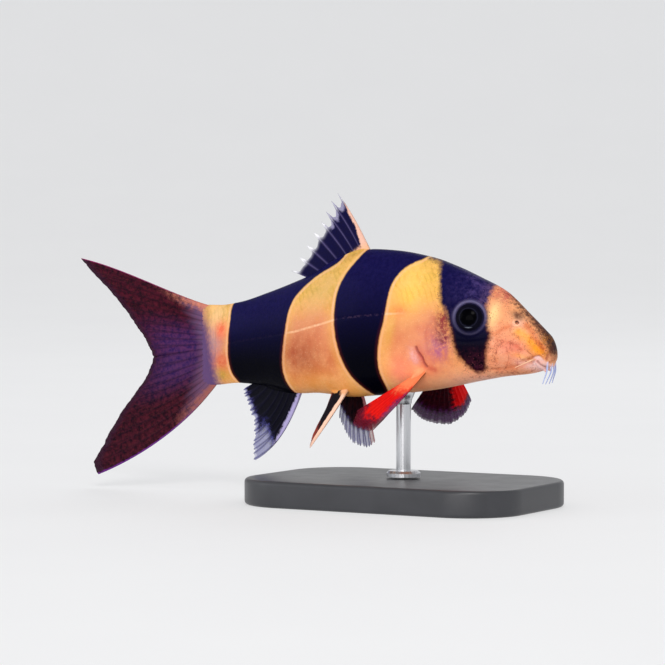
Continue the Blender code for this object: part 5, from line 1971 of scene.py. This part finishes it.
def softbox(name, place_m, aim_m, size, power, colour):
    data = bpy.data.lights.new(name, "AREA")
    data.shape = "DISK"
    data.size = size
    data.energy = power
    data.color = colour
    made = bpy.data.objects.new(name, data)
    made.location = place_m
    made.rotation_euler = (Vector(aim_m) - Vector(place_m)).to_track_quat("-Z", "Y").to_euler()
    bpy.context.scene.collection.objects.link(made)
    return made


AIM = (0, 0, 0.027)
softbox("key", (0.26, -0.44, 0.44), AIM, 0.22, 1.6, (1.0, 0.97, 0.93))
low_fill = softbox("low_fill", (0.1, -0.6, 0.05), AIM, 0.5, 1.45, (1.0, 0.97, 0.95))
softbox("tail_fill", (-0.55, -0.4, 0.22), AIM, 0.4, 0.6, (0.95, 0.97, 1.0))
softbox("back", (-0.1, 0.5, 0.45), AIM, 0.3, 0.5, (1.0, 1.0, 1.0))
spared = bpy.data.collections.new("spared_by_low_fill")
spared.objects.link(floor)
low_fill.light_linking.receiver_collection = spared
spared.collection_objects[0].light_linking.link_state = "EXCLUDE"

# %% [markdown]
# The camera looks at the right flank from a little ahead of it and a little above. Its distance
# and the width of its view at the fish give the long lens of such a close photograph.

# %% Camera
CAMERA_AZIMUTH = math.radians(30.0)
CAMERA_ELEVATION = math.radians(2.0)
CAMERA_DISTANCE = 0.420
CAMERA_FIELD = 0.10108
CAMERA_AIM_SHIFT = -6.418
CAMERA_AIM_STATION = 30.0
SENSOR_WIDTH = 36
rightward = Vector((math.cos(CAMERA_AZIMUTH), math.sin(CAMERA_AZIMUTH), 0))
back_to_camera = Vector((
    math.sin(CAMERA_AZIMUTH) * math.cos(CAMERA_ELEVATION),
    -math.cos(CAMERA_AZIMUTH) * math.cos(CAMERA_ELEVATION),
    math.sin(CAMERA_ELEVATION),
))
aim = (Vector(place(CAMERA_AIM_STATION, 0.0, 0.0)) + rightward * CAMERA_AIM_SHIFT) * MM
camera_data = bpy.data.cameras.new("camera")
camera_data.sensor_width = SENSOR_WIDTH
camera_data.lens = SENSOR_WIDTH * CAMERA_DISTANCE / CAMERA_FIELD
camera_data.clip_start = 0.001
camera = bpy.data.objects.new("camera", camera_data)
bpy.context.scene.collection.objects.link(camera)
camera.location = aim + back_to_camera * CAMERA_DISTANCE
camera.rotation_euler = back_to_camera.to_track_quat("Z", "Y").to_euler()
bpy.context.scene.camera = camera
bpy.context.scene.view_settings.view_transform = "Standard"
print("camera", round(camera.location.z / MM, 1), "mm above the floor, lens", round(camera_data.lens, 1))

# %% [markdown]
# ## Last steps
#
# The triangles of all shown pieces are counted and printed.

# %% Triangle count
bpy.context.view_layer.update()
meshes = [piece.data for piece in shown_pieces() if piece.type == "MESH"]
print("triangles:", sum(len(face.vertices) - 2 for mesh in meshes for face in mesh.polygons))
